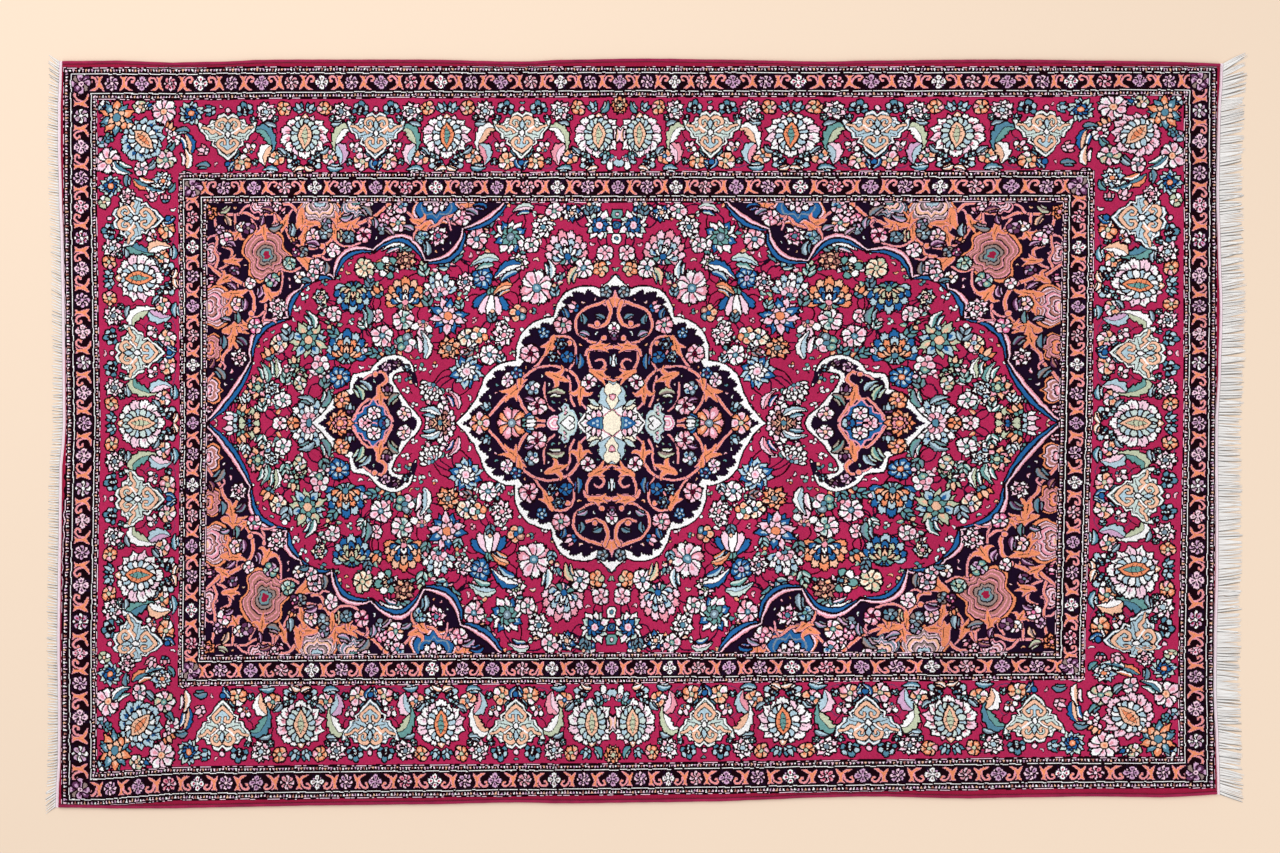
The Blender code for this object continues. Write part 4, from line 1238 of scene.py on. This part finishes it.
class Nodes:
    """Short ways to add and join shader nodes."""

    def __init__(self, name):
        self.material = bpy.data.materials.new(name)
        self.material.use_nodes = True
        self.tree = self.material.node_tree
        self.shader = self.tree.nodes["Principled BSDF"]

    def add(self, kind, **settings):
        node = self.tree.nodes.new("ShaderNode" + kind)
        for key, value in settings.items():
            setattr(node, key, value)
        return node

    def join(self, value, socket):
        if isinstance(value, bpy.types.NodeSocket):
            self.tree.links.new(value, socket)
        else:
            socket.default_value = value

    def math(self, operation, a, b=None, c=None):
        node = self.add("Math", operation=operation)
        for value, socket in zip((a, b, c), node.inputs):
            if value is not None:
                self.join(value, socket)
        return node.outputs[0]

    def places(self, layer):
        node = self.add("UVMap", uv_map=layer)
        parts = self.add("SeparateXYZ")
        self.join(node.outputs[0], parts.inputs[0])
        return parts.outputs[0], parts.outputs[1]

    def point(self, x, y, z=0.0):
        node = self.add("CombineXYZ")
        for value, socket in zip((x, y, z), node.inputs):
            self.join(value, socket)
        return node.outputs[0]

    def object_point(self):
        return self.add("TexCoord").outputs["Object"]

    def noise(self, point, scale, detail):
        node = self.add("TexNoise")
        self.join(point, node.inputs["Vector"])
        node.inputs["Scale"].default_value = scale
        node.inputs["Detail"].default_value = detail
        return node.outputs[0]

    def random(self, point):
        node = self.add("TexWhiteNoise", noise_dimensions="3D")
        self.join(point, node.inputs["Vector"])
        return node.outputs["Value"]

    def between(self, value, low, high):
        """A value from 0 to 1 taken to run from low to high."""
        return self.math("MULTIPLY_ADD", value, high - low, low)

    def tint(self, colour, factor):
        """A colour made lighter or darker by a factor."""
        node = self.add("VectorMath", operation="SCALE")
        self.join(colour, node.inputs[0])
        self.join(factor, node.inputs["Scale"])
        return node.outputs[0]

    def mix(self, factor, one, two):
        node = self.add("Mix", data_type="RGBA")
        self.join(factor, node.inputs[0])
        self.join(one, node.inputs[6])
        self.join(two, node.inputs[7])
        return node.outputs[2]

    def bump(self, height, distance, strength):
        node = self.add("Bump")
        node.inputs["Strength"].default_value = strength
        node.inputs["Distance"].default_value = distance
        self.join(height, node.inputs["Height"])
        self.join(node.outputs[0], self.shader.inputs["Normal"])

    def finish(self, colour, roughness, sheen, sheen_roughness=0.5):
        self.join(colour, self.shader.inputs["Base Color"])
        self.join(roughness, self.shader.inputs["Roughness"])
        self.shader.inputs["Sheen Weight"].default_value = sheen
        self.shader.inputs["Sheen Roughness"].default_value = sheen_roughness
        self.shader.inputs["Specular IOR Level"].default_value = SPECULAR
        return self.material


def linear(colour):
    """An sRGB colour out of 255 as linear light, with full opacity."""
    shares = np.array(colour) / 255
    return tuple(np.where(shares <= 0.04045, shares / 12.92, ((shares + 0.055) / 1.055) ** 2.4)) + (1.0,)


# The knotted pile: each face of its grid holds 4 by 4 knots of the chart

CELLS_ALONG = 200
CELLS_ACROSS = 127
KNOTS = 4
BASE = 32
# How far a knot may lie from its place on the chart, in points
KNOT_WOBBLE = 0.22


def knot_colour(n, column_place, row_place):
    """The colour of the knot under a place: its dye is one digit of one of its face's four numbers."""
    held = n.add("Attribute", attribute_name="knots", attribute_type="GEOMETRY")
    parts = n.add("SeparateColor")
    n.join(held.outputs["Color"], parts.inputs[0])
    column = n.math("MODULO", n.math("FLOOR", column_place), float(KNOTS))
    row = n.math("MODULO", n.math("FLOOR", row_place), float(KNOTS))
    digits = None
    for i, channel in enumerate((*parts.outputs[:3], held.outputs["Alpha"])):
        here = n.math("MULTIPLY", channel, n.math("COMPARE", row, float(i), 0.25))
        digits = here if digits is None else n.math("ADD", digits, here)
    lowered = n.math("DIVIDE", digits, n.math("POWER", float(BASE), column))
    dye = n.math("MODULO", n.math("FLOOR", n.math("ADD", lowered, 0.001)), float(BASE))
    ramp = n.add("ValToRGB")
    ramp.color_ramp.interpolation = "CONSTANT"
    stops = ramp.color_ramp.elements
    for i, colour in enumerate(DYES.values()):
        stop = stops[i] if i < 2 else stops.new(i / BASE)
        stop.position = i / BASE
        stop.color = linear(colour)
    n.join(n.math("DIVIDE", n.math("ADD", dye, 0.5), float(BASE)), ramp.inputs[0])
    return ramp.outputs[0]


def wool_material():
    """The pile: each knot has its dye, is a small tuft with painted shade at its edges, and has a tone of
    its own.
    """
    n = Nodes("knotted_wool")
    u, v = n.places("knot_places")
    column_place = n.math("MULTIPLY", u, float(KNOTS))
    row_place = n.math("MULTIPLY", v, float(KNOTS))
    colour = knot_colour(n, column_place, row_place)
    # uneven dye along the rug, worn light patches, and a tone for each knot
    place = n.object_point()
    bands = n.add("Mapping")
    bands.inputs["Scale"].default_value = (9.0, 1.2, 1.0)
    n.join(place, bands.inputs[0])
    abrash = n.between(n.noise(bands.outputs[0], scale=1.0, detail=3.0), 0.78, 1.22)
    patches = n.between(n.noise(place, scale=7.0, detail=4.0), 0.84, 1.16)
    knot = n.point(n.math("FLOOR", column_place), n.math("FLOOR", row_place))
    own = n.between(n.random(knot), 0.80, 1.18)
    tone = n.math("MULTIPLY", n.math("MULTIPLY", abrash, patches), own)
    # each knot is round across and along, and its colour is painted darker towards its edges as shade
    # between the tufts
    across = n.math("SINE", n.math("MULTIPLY", n.math("FRACT", column_place), math.pi))
    down = n.math("SINE", n.math("MULTIPLY", n.math("FRACT", row_place), math.pi))
    tuft = n.math("MULTIPLY", across, down)
    grain = n.noise(place, scale=900.0, detail=2.0)
    height = n.math("ADD", n.math("MULTIPLY", tuft, 0.6), n.math("MULTIPLY", grain, 0.6))
    n.bump(height, distance=0.0006, strength=0.7)
    # the knot's random tone, times painted shade at the edges of its tuft
    tone_and_painted_shade = n.math("MULTIPLY", tone, n.between(tuft, 0.90, 1.04))
    roughness = n.between(n.noise(place, scale=40.0, detail=2.0), 0.80, 0.95)
    return n.finish(n.tint(colour, tone_and_painted_shade), roughness, sheen=0.03, sheen_roughness=0.4)


def wobble(a, b, seed, size, waves=(7.0, 19.0), count=7):
    """The uneven hand of the knotter, as small shifts that change over a few knots."""
    draw = np.random.default_rng(seed)
    shift = np.zeros(np.shape(a))
    for _ in range(count):
        angle, phase = draw.uniform(0, 2 * math.pi, 2)
        number = 2 * math.pi / draw.uniform(*waves)
        shift += np.sin(number * (a * math.cos(angle) + b * math.sin(angle)) + phase)
    return shift * size / math.sqrt(count / 2)


def knots_at(x, y):
    """The dye of the knot at each place of the rug."""
    column = (x - SHIFT_X) / METRES_PER_PIXEL + RUG_COLUMN
    row = RUG_ROW - (y - SHIFT_Y) / METRES_PER_PIXEL
    a, b = photo_to_chart(column, row)
    a = a + wobble(a, b, 5, KNOT_WOBBLE)
    b = b + wobble(a, b, 9, KNOT_WOBBLE)
    column = np.clip((abs(a) * PER_POINT).astype(int), 0, chart.shape[1] - 1)
    row = np.clip((abs(b) * PER_POINT).astype(int), 0, chart.shape[0] - 1)
    dye = chart[row, column].astype(int)
    for code, left, right in ((Q, B, S), (U, A, P)):
        dye = np.where(dye == code, np.where(a < 0, left, right), dye)
    return dye


# Unevenness of the pile's height: seed, size and wavelengths in metres, and number of waves
FINE_UNEVENNESS = (21, 0.00010, (0.011, 0.030), 9)
WIDE_UNEVENNESS = (22, 0.00012, (0.05, 0.11), 6)
# Places of the extra grid lines in the rounded rim, as shares of its width
RIM_LINES = (0.0, 0.08, 0.25, 0.55)


def pile_height(x, y, to_edge):
    """The height of the pile at a place that lies so far from its edge: a round rim and an uneven top."""
    rounded = np.sqrt(np.maximum(0, 1 - (1 - np.minimum(to_edge / PILE_ROUNDING, 1)) ** 2))
    wave = 2 * math.pi / RIPPLE_LENGTH
    bend = RIPPLE_BEND * np.sin(wave * y)
    ripple = PILE_RIPPLE * np.sin(wave * x + bend) * np.cos(RIPPLE_STRETCH * wave * y)
    uneven = wobble(x, y, *FINE_UNEVENNESS) + wobble(x, y, *WIDE_UNEVENNESS)
    return PILE_SIDE_HEIGHT + (PILE_HEIGHT - PILE_SIDE_HEIGHT + ripple + uneven) * rounded


def grid_lines(first, last, cells, side, rim_at):
    """Shares of a side at a tile's grid lines, closer together at its rounded rim."""
    lines = np.linspace(first, last, cells + 1)
    rim = PILE_ROUNDING / side * np.array(RIM_LINES)
    if rim_at == "first":
        return np.concatenate([first + rim, lines[1:]])
    return np.concatenate([lines[:-1], (last - rim)[::-1]])


def packed_knots(along, across):
    """The dyes of four by four knots in each face, a row of knots to a channel, in base 32."""
    share = (np.arange(KNOTS) + 0.5) / KNOTS
    middles = [(lines[:-1, None] + np.diff(lines)[:, None] * share).ravel() for lines in (along, across)]
    dyes = knots_at(*plan(*np.meshgrid(*middles, indexing="ij")))
    dyes = dyes.reshape(len(along) - 1, KNOTS, len(across) - 1, KNOTS).transpose(0, 2, 3, 1)
    return (dyes * float(BASE) ** np.arange(KNOTS)).sum(-1).reshape(-1, 4)


# Heights in the layout for baking: the top, the underside, and a thin strip for each wall
TOP_PART = 0.60
UNDER_START, UNDER_PART = 0.62, 0.28
WALL_START, WALL_STEP, WALL_PART = 0.92, 0.021, 0.015


def make_tile(name, along_range, across_range, rims, material):
    """A quarter of the pile: a closed slab of four-cornered faces that hold the dyes of their knots."""
    along = grid_lines(*along_range, CELLS_ALONG, PILE_LENGTH, rims[0])
    across = grid_lines(*across_range, CELLS_ACROSS, RUG_WIDTH, rims[1])
    nu, nv = len(along), len(across)
    cord_share = (SELVEDGE_WIDTH + GAP) / RUG_WIDTH
    u, v = np.meshgrid(along, across, indexing="ij")
    x, y = plan(u, v)
    to_end, to_side = np.minimum(u, 1 - u), np.minimum(v, 1 - v) - cord_share
    to_edge = np.minimum(to_end * PILE_LENGTH, to_side * RUG_WIDTH)
    top = np.stack([x, y, pile_height(x, y, to_edge)], -1).reshape(-1, 3)
    points = np.concatenate([top, top * (1, 1, 0)])
    index = np.arange(nu * nv).reshape(nu, nv)
    quads = np.stack([index[:-1, :-1], index[1:, :-1], index[1:, 1:], index[:-1, 1:]], -1).reshape(-1, 4)
    packed = packed_knots(along, across)
    cell = np.arange(len(quads)).reshape(nu - 1, nv - 1)
    first_corners = np.stack(np.meshgrid(np.arange(nu - 1.0), np.arange(nv - 1.0), indexing="ij"), -1)
    corners = first_corners.reshape(-1, 1, 2) + np.array(((0, 0), (1, 0), (1, 1), (0, 1)))
    scaled = np.stack([u.ravel(), v.ravel()], -1)
    scaled = (scaled - scaled.min(0)) / (scaled.max(0) - scaled.min(0))
    faces = [quads, quads[:, ::-1] + len(top)]
    knot_places = [corners, corners[:, ::-1]]
    under_places = scaled[quads[:, ::-1]] * (1, UNDER_PART) + (0, UNDER_START)
    bake_places = [scaled[quads] * (1, TOP_PART), under_places]
    colours = [packed, packed]
    # the walls round the tile take the dyes of the faces above them
    for i, (ends, cells) in enumerate(((index[:, 0], cell[:, 0]), (index[-1, :], cell[-1, :]),
                                       (index[::-1, -1], cell[::-1, -1]), (index[0, ::-1], cell[0, ::-1]))):
        faces.append(np.stack([ends[:-1] + len(top), ends[1:] + len(top), ends[1:], ends[:-1]], -1))
        knot_places.append(corners[cells])
        colours.append(packed[cells])
        shares = np.linspace(0, 1, len(ends))
        low = WALL_START + WALL_STEP * i
        strip = np.stack([shares[:-1], shares[1:], shares[1:], shares[:-1]], 1)
        levels = np.broadcast_to((low, low, low + WALL_PART, low + WALL_PART), strip.shape)
        bake_places.append(np.stack([strip, levels], -1))
    faces = np.concatenate(faces)
    piece = add_piece(name, points, faces, material, np.arange(len(faces)) < 2 * len(quads),
                      {"OFBake": np.concatenate(bake_places), "knot_places": np.concatenate(knot_places)})
    held = piece.data.attributes.new("knots", "FLOAT_COLOR", "FACE")
    held.data.foreach_set("color", np.concatenate(colours).astype(np.float32).ravel())
    return piece


# Edges that bend more than this are sharp
SHARP_ANGLE = math.radians(70)


def add_piece(name, points, faces, material, smooth_faces, layers):
    """A mesh from arrays of points and of faces with four corners, with its UV layers."""
    mesh = bpy.data.meshes.new(name)
    mesh.vertices.add(len(points))
    mesh.vertices.foreach_set("co", np.asarray(points, np.float32).ravel())
    mesh.loops.add(4 * len(faces))
    mesh.loops.foreach_set("vertex_index", np.asarray(faces, np.int32).ravel())
    mesh.polygons.add(len(faces))
    mesh.polygons.foreach_set("loop_start", np.arange(len(faces), dtype=np.int32) * 4)
    mesh.polygons.foreach_set("use_smooth", np.full(len(faces), smooth_faces, bool))
    for layer, places in layers.items():
        mesh.uv_layers.new(name=layer).data.foreach_set("uv", np.asarray(places, np.float32).ravel())
    mesh.update(calc_edges=True)
    mesh.set_sharp_from_angle(angle=SHARP_ANGLE)
    mesh.materials.append(material)
    piece = bpy.data.objects.new(name, mesh)
    bpy.context.scene.collection.objects.link(piece)
    return piece


def tube_faces(rings):
    """Four-cornered faces round bars through rings of shape (bar, ring, side, 3)."""
    bars, count, sides = rings.shape[:3]
    index = np.arange(bars * count * sides).reshape(bars, count, sides)
    following = np.roll(index, -1, 2)
    return np.stack([index[:, :-1], following[:, :-1], following[:, 1:], index[:, 1:]], -1).reshape(-1, 4)


def tube_places(rings):
    """UV corners for these faces: once round each bar, and from its start to its end."""
    bars, count, sides = rings.shape[:3]
    u0, v0 = np.meshgrid(np.arange(sides) / sides, np.arange(count - 1) / (count - 1))
    u1, v1 = u0 + 1 / sides, v0 + 1 / (count - 1)
    one = np.stack([np.stack(corner, -1) for corner in ((u0, v0), (u1, v0), (u1, v1), (u0, v1))], 2)
    return np.tile(one.reshape(-1, 4, 2), (bars, 1, 1))


def caps(rings):
    """Four-cornered faces that close both ends of bars whose rings have an even number of sides."""
    bars, count, sides = rings.shape[:3]
    index = np.arange(bars * count * sides).reshape(bars, count, sides)
    faces = []
    for i in range(sides // 2 - 1):
        j, k, m, n = i, i + 1, sides - 2 - i, sides - 1 - i
        faces.append(np.stack([index[:, 0, n], index[:, 0, m], index[:, 0, k], index[:, 0, j]], -1))
        faces.append(np.stack([index[:, -1, j], index[:, -1, k], index[:, -1, m], index[:, -1, n]], -1))
    return np.concatenate(faces)


# The cords along the long sides, wrapped with yarn

WRAP_PITCH = 0.0021
RINGS_A_TURN = 3
CORD_SIDES = 12
# The depth of the ridges that the yarn makes, as a share of the cord's half width
RIDGE = 0.07
# How much a turn slants, as a share of a turn
SLANT = 0.25
# Waves along the cord, of its turns and of its thickness: size as a share, and radians a metre
TURN_WAVE = (0.1, 90)
THICKNESS_WAVES = ((0.03, 151), (0.02, 57))


def cord_material():
    n = Nodes("overcast_wool")
    place = n.object_point()
    yarns = n.noise(place, scale=260.0, detail=2.0)
    patches = n.noise(place, scale=11.0, detail=3.0)
    tone = n.math("MULTIPLY", n.between(yarns, 0.75, 1.25), n.between(patches, 0.7, 1.3))
    n.bump(n.noise(place, scale=1500.0, detail=2.0), distance=0.0003, strength=0.6)
    colour = n.mix(n.noise(place, scale=60.0, detail=2.0), linear((176, 40, 84)), linear((126, 22, 62)))
    return n.finish(n.tint(colour, tone), n.between(yarns, 0.8, 0.95), sheen=0.25)


def make_cord(name, first, last, across, inward, material):
    """A cord along a part of a long side, flat where it lies on the floor."""
    count = int((last - first) * PILE_LENGTH / (WRAP_PITCH / RINGS_A_TURN)) + 1
    along = np.linspace(first, last, count)
    x, y = plan(along, across)
    y = y + inward * 0.5 * SELVEDGE_WIDTH
    run = along * PILE_LENGTH
    angle = 2 * math.pi * np.arange(CORD_SIDES) / CORD_SIDES
    # the wrapping yarn makes a ridge once a turn, a little slanted
    size, rate = TURN_WAVE
    phase = run[:, None] / WRAP_PITCH + SLANT * np.sin(angle) + size * np.sin(run * rate)[:, None]
    half = 0.5 * SELVEDGE_WIDTH * (1 - RIDGE + RIDGE * abs(np.sin(math.pi * phase)))
    uneven = 1.0
    for i, (size, rate) in enumerate(THICKNESS_WAVES):
        uneven = uneven + size * np.sin(run * rate + i)
    half = half * uneven[:, None]
    side = half * np.cos(angle)
    up = np.maximum(0.5 * SELVEDGE_WIDTH + half * np.sin(angle) * 1.05, 0)
    rings = np.stack([np.broadcast_to(x[:, None], side.shape), y[:, None] + side, up], -1)[None]
    faces = np.concatenate([tube_faces(rings), caps(rings)])[:, ::-1]
    return add_piece(name, rings.reshape(-1, 3), faces, material, True, {})


# The flat-woven strips at the ends

def kilim_material():
    n = Nodes("flat_weave")
    place = n.object_point()
    patches = n.noise(place, scale=14.0, detail=3.0)
    colour = n.mix(patches, linear((255, 246, 252)), linear((250, 226, 238)))
    threads = n.noise(place, scale=700.0, detail=2.0)
    n.bump(threads, distance=0.0004, strength=0.6)
    colour = n.tint(colour, n.between(threads, 0.85, 1.1))
    return n.finish(colour, n.between(patches, 0.82, 0.95), sheen=0.15)


# Four picks of weft over the warp ends, with their step along the pick and their heights as shares
PICKS = 4
KILIM_STEP = 0.0008
RINGS_OUT = 17
WARP_PITCH = 0.0032
KILIM_BASE, PICK_RISE, WARP_RISE = 0.74, 0.16, 0.10
# The height of the strip's edges as a share, and how steeply it rises from them
EDGE_SHARE, EDGE_SLOPE = 0.55, 9


def make_kilim(name, along, outward, material):
    """A band of thick picks of weft that pass over and under the warp ends."""
    count = int(RUG_WIDTH / KILIM_STEP) + 1
    across = np.linspace(0, 1, count)
    x, y = plan(np.full(count, along), across)
    share = np.linspace(0, 1, RINGS_OUT)
    pick = np.floor(share * (PICKS - 0.001))
    rise = abs(np.sin(math.pi * PICKS * share))
    warp = np.sin(2 * math.pi * across[:, None] * RUG_WIDTH / WARP_PITCH + math.pi * pick)
    up = KILIM_THICKNESS * (KILIM_BASE + PICK_RISE * rise + WARP_RISE * warp * rise)
    up = up * np.minimum(1, np.minimum(share, 1 - share) * EDGE_SLOPE + EDGE_SHARE)
    out = outward * (GAP + KILIM_WIDTH * share)
    top = np.stack([x[:, None] + out, np.broadcast_to(y[:, None], up.shape), up], -1)
    bottom = top[:, ::-1] * (1, 1, 0)
    rings = np.concatenate([top, bottom], 1)[None]
    faces = np.concatenate([tube_faces(rings), caps(rings)])
    if outward > 0:
        faces = faces[:, ::-1]
    return add_piece(name, rings.reshape(-1, 3), faces, material, True, {})


# The fringes

TASSELS = 270
YARNS = 3
YARN_SIDES = 6
SECTION_LENGTH = 0.005
FRINGE_GAP = 0.0002
TONES_OF_YARN = 10
# Unevenness: of a tassel, in radians of lean and as a share of length, and of its yarns' lean and length
TASSEL_SPREAD, YARN_LEAN, YARN_LENGTH = 0.08, 0.02, 0.03
# The bend of a tassel of the right fringe's length, and the wave of a yarn, in metres
BEND, WAVE = 0.002, 0.0004
# How far a yarn lies off the floor at its start, and in an arch along it
START_RISE, ARCH_RISE = 0.0012, 0.0006
# Of a yarn: how uneven its place is, the range of its thickness, and how much of that its tip loses
PLACE_SPREAD, THICKNESS, TAPER = 0.2, (0.85, 1.15), 0.5
# Of each tassel's first yarn: its thickness, and how often it is painted dark as deep shade
THIN, SHADE_PAINTED_SHARE = 0.8, 0.45


def cotton_material():
    n = Nodes("warp_cotton")
    u, v = n.places("turns")
    place = n.object_point()
    turns = n.math("SINE", n.math("MULTIPLY", n.math("ADD", u, n.math("MULTIPLY", v, 9.0)), 2 * math.pi))
    ply = n.math("ABSOLUTE", turns)
    hairs = n.math("MULTIPLY", n.noise(place, scale=1400.0, detail=2.0), 0.5)
    n.bump(n.math("ADD", ply, hairs), distance=0.0003, strength=0.4)
    patches = n.noise(place, scale=30.0, detail=3.0)
    colour = n.mix(patches, linear((255, 255, 254)), linear((248, 244, 242)))
    # the yarn's sides are painted greyer than its crown and underside, as shade between the yarns
    crown_against_painted_side_shade = n.math("ABSOLUTE", n.math("SINE", n.math("MULTIPLY", u, 2 * math.pi)))
    colour = n.mix(n.math("POWER", crown_against_painted_side_shade, 0.35), linear((226, 218, 214)), colour)
    # a tone for each yarn from the whole part of u: a random tone, or painted dark as shade for the first
    # yarn of a tassel
    tone = n.math("DIVIDE", n.math("FLOOR", u), TONES_OF_YARN - 1)
    colour = n.tint(colour, n.between(tone, 0.3, 1.0))
    # the grooves of the twist are also painted a little darker, as shade
    return n.finish(n.tint(colour, n.between(ply, 0.94, 1.02)), n.between(patches, 0.82, 0.95), sheen=0.15)


def make_fringe(name, along, outward, column, length, pinch, thick, seed, material):
    """Warp ends in small tassels, which leave the strip side by side and lie loosely on the floor."""
    draw = np.random.default_rng(seed)
    count = YARNS * TASSELS

    def spread(size):
        return draw.uniform(-size, size, count)

    def tassel_spread(size):
        return np.repeat(draw.uniform(-size, size, TASSELS), YARNS)

    share = np.linspace(0, 1, max(5, int(length / SECTION_LENGTH) + 2))
    across = (np.arange(count) + 0.5 + spread(PLACE_SPREAD)) / count
    x, y = plan(np.full(count, along), across)
    middle = np.repeat(y.reshape(-1, YARNS).mean(1), YARNS)
    lean = np.radians(eased(FRINGE_LEAN, column, y - SHIFT_Y))
    lean = lean + tassel_spread(TASSEL_SPREAD) + spread(YARN_LEAN)
    reach = length * (1 + tassel_spread(TASSEL_SPREAD) + spread(YARN_LENGTH))
    bend = tassel_spread(BEND)
    wave = draw.uniform(0, 2 * math.pi, count)
    out = reach[:, None] * share
    aside = np.tan(lean)[:, None] * out + bend[:, None] * share ** 2 * length / RIGHT_FRINGE_LENGTH
    aside = aside + WAVE * np.sin(wave[:, None] + 5 * share) * share
    aside = aside + pinch * (middle - y)[:, None] * np.minimum(1, 2.5 * share)
    half = 0.5 * thick * (1 - TAPER * share ** 3) * draw.uniform(*THICKNESS, count)[:, None]
    level = draw.uniform(0.0, 0.9, count)
    # the first yarn of each tassel is thinner and painted darker than the others, often deeply, as shade
    # that the others cast
    tones_and_painted_shade = draw.integers(TONES_OF_YARN - 2, TONES_OF_YARN, count)
    tones_and_painted_shade[::YARNS] = np.where(draw.random(TASSELS) < SHADE_PAINTED_SHARE, 0, TONES_OF_YARN - 3)
    half[::YARNS] *= THIN
    arch = level[:, None] * np.sin(math.pi * share * 0.9 + 0.3)
    rise = half + (START_RISE * (1 - share) + ARCH_RISE * arch) * 0.9
    start = GAP + KILIM_WIDTH + FRINGE_GAP
    rise = np.maximum(rise, half)
    centre = np.stack([x[:, None] + outward * (start + out), y[:, None] + aside, rise], -1)
    slope = np.gradient(aside, axis=1) / np.gradient(out, axis=1)
    norm = np.sqrt(1 + slope ** 2)
    sideways = np.stack([-outward * slope / norm, 1 / norm, 0 * norm], -1)
    angle = 2 * math.pi * np.arange(YARN_SIDES)[:, None] / YARN_SIDES
    turned = sideways[:, :, None] * np.cos(angle) + np.array((0, 0, 1.0)) * np.sin(angle)
    rings = centre[:, :, None] + half[..., None, None] * turned
    ends = caps(rings)
    faces = np.concatenate([tube_faces(rings), ends])
    places = tube_places(rings)
    places.reshape(count, -1, 2)[..., 0] += tones_and_painted_shade[:, None]
    places = np.concatenate([places, np.zeros((len(ends), 4, 2))])
    if outward < 0:
        faces, places = faces[:, ::-1], places[:, ::-1]
    return add_piece(name, rings.reshape(-1, 3), faces, material, True, {"turns": places})


def attach(piece, node):
    """Let a piece ride on the rug's one body, in place of a node of the solids."""
    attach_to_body(piece, "root")
    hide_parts(node)
    return piece


def main():
    """The pieces: four tiles of pile, four cords, two strips and two fringes, each riding on the rug's one
    body.
    """
    wool, overcast, weave, cotton = wool_material(), cord_material(), kilim_material(), cotton_material()
    low = (SELVEDGE_WIDTH + GAP) / RUG_WIDTH
    tiles, cords, strips, fringes = {}, {}, {}, {}
    for end, along, rim in (("left", (0.0, 0.5), "first"), ("right", (0.5, 1.0), "last")):
        for side, across, side_rim in (("lower", (low, 0.5), "first"), ("upper", (0.5, 1 - low), "last")):
            tile = make_tile("pile_%s_%s" % (side, end), along, across, (rim, side_rim), wool)
            tiles[side, end] = attach(tile, "pile")
    for side, across, inward in (("upper", 1.0, -1.0), ("lower", 0.0, 1.0)):
        for end, first, last in (("left", 0.0, 0.5), ("right", 0.5, 1.0)):
            cord = make_cord("cord_%s_%s" % (side, end), first, last, across, inward, overcast)
            cords[side, end] = attach(cord, "selvedge_" + side)
    for end, along, outward in (("left", 0.0, -1.0), ("right", 1.0, 1.0)):
        strip = make_kilim("strip_" + end, along, outward, weave)
        strips[end] = attach(strip, "kilim_" + end)
    # how far the yarns of a tassel draw together, their thickness, and the seed of their draws
    for end, along, outward, column, length, pinch, thick, seed in (
            ("left", 0.0, -1.0, 1, LEFT_FRINGE_LENGTH, 0.75, 0.00145, 4),
            ("right", 1.0, 1.0, 2, RIGHT_FRINGE_LENGTH, 0.1, 0.0018, 11)):
        fringe = make_fringe("ends_" + end, along, outward, column, length, pinch, thick, seed, cotton)
        fringes[end] = attach(fringe, "fringe_" + end)
    for side in ("upper", "lower"):
        for end in ("left", "right"):
            trimmings = [cords[side, end]]
            if side == "upper":
                trimmings += [strips[end], fringes[end]]


# The floor's half side and colour
FLOOR_REACH = 9
FLOOR_COLOUR = (240, 218, 196)


def make_floor():
    mesh = bpy.data.meshes.new("floor")
    corners = [(x * FLOOR_REACH, y * FLOOR_REACH, 0) for x, y in ((-1, -1), (1, -1), (1, 1), (-1, 1))]
    mesh.from_pydata(corners, [], [(0, 1, 2, 3)])
    n = Nodes("floor")
    n.finish(linear(FLOOR_COLOUR), roughness=0.7, sheen=0.0)
    mesh.materials.append(n.material)
    floor = bpy.data.objects.new("floor", mesh)
    bpy.context.scene.collection.objects.link(floor)


CAMERA_HEIGHT = 4.6


def make_camera():
    """Straight above the rug, with the photograph's frame."""
    camera = bpy.data.cameras.new("camera")
    camera.sensor_fit = "HORIZONTAL"
    camera.angle = 2 * math.atan(PHOTO_WIDTH / 2 * METRES_PER_PIXEL / (CAMERA_HEIGHT - PILE_HEIGHT))
    camera.clip_end = 50
    view = bpy.data.objects.new("camera", camera)
    view.location = (SHIFT_X, SHIFT_Y + (RUG_ROW - PHOTO_HEIGHT / 2) * METRES_PER_PIXEL, CAMERA_HEIGHT)
    bpy.context.scene.collection.objects.link(view)
    bpy.context.scene.camera = view


# Two soft lamps: place, size and power
LAMPS = (("key", (-1.6, 1.8, 3.2), 2.6, 66.0), ("fill", (2.2, -1.4, 3.0), 3.0, 33.0))
SKY_COLOUR = (1.0, 0.99, 0.98, 1.0)
SKY_STRENGTH = 0.66


def make_light():
    world = bpy.data.worlds.new("studio")
    world.use_nodes = True
    sky = world.node_tree.nodes["Background"]
    sky.inputs["Color"].default_value = SKY_COLOUR
    sky.inputs["Strength"].default_value = SKY_STRENGTH
    bpy.context.scene.world = world
    bpy.context.scene.view_settings.view_transform = "Standard"
    for name, place, size, power in LAMPS:
        light = bpy.data.lights.new(name, "AREA")
        light.size = size
        light.energy = power
        lamp = bpy.data.objects.new(name, light)
        lamp.location = place
        lamp.rotation_euler = aim(place)
        bpy.context.scene.collection.objects.link(lamp)


def aim(place):
    """The turn that points a light at the middle of the rug."""
    x, y, z = place
    flat = math.hypot(x, y)
    return (math.atan2(flat, z), 0.0, math.atan2(y, x) + math.pi / 2)


main()
make_floor()
make_camera()
make_light()
bpy.context.view_layer.update()
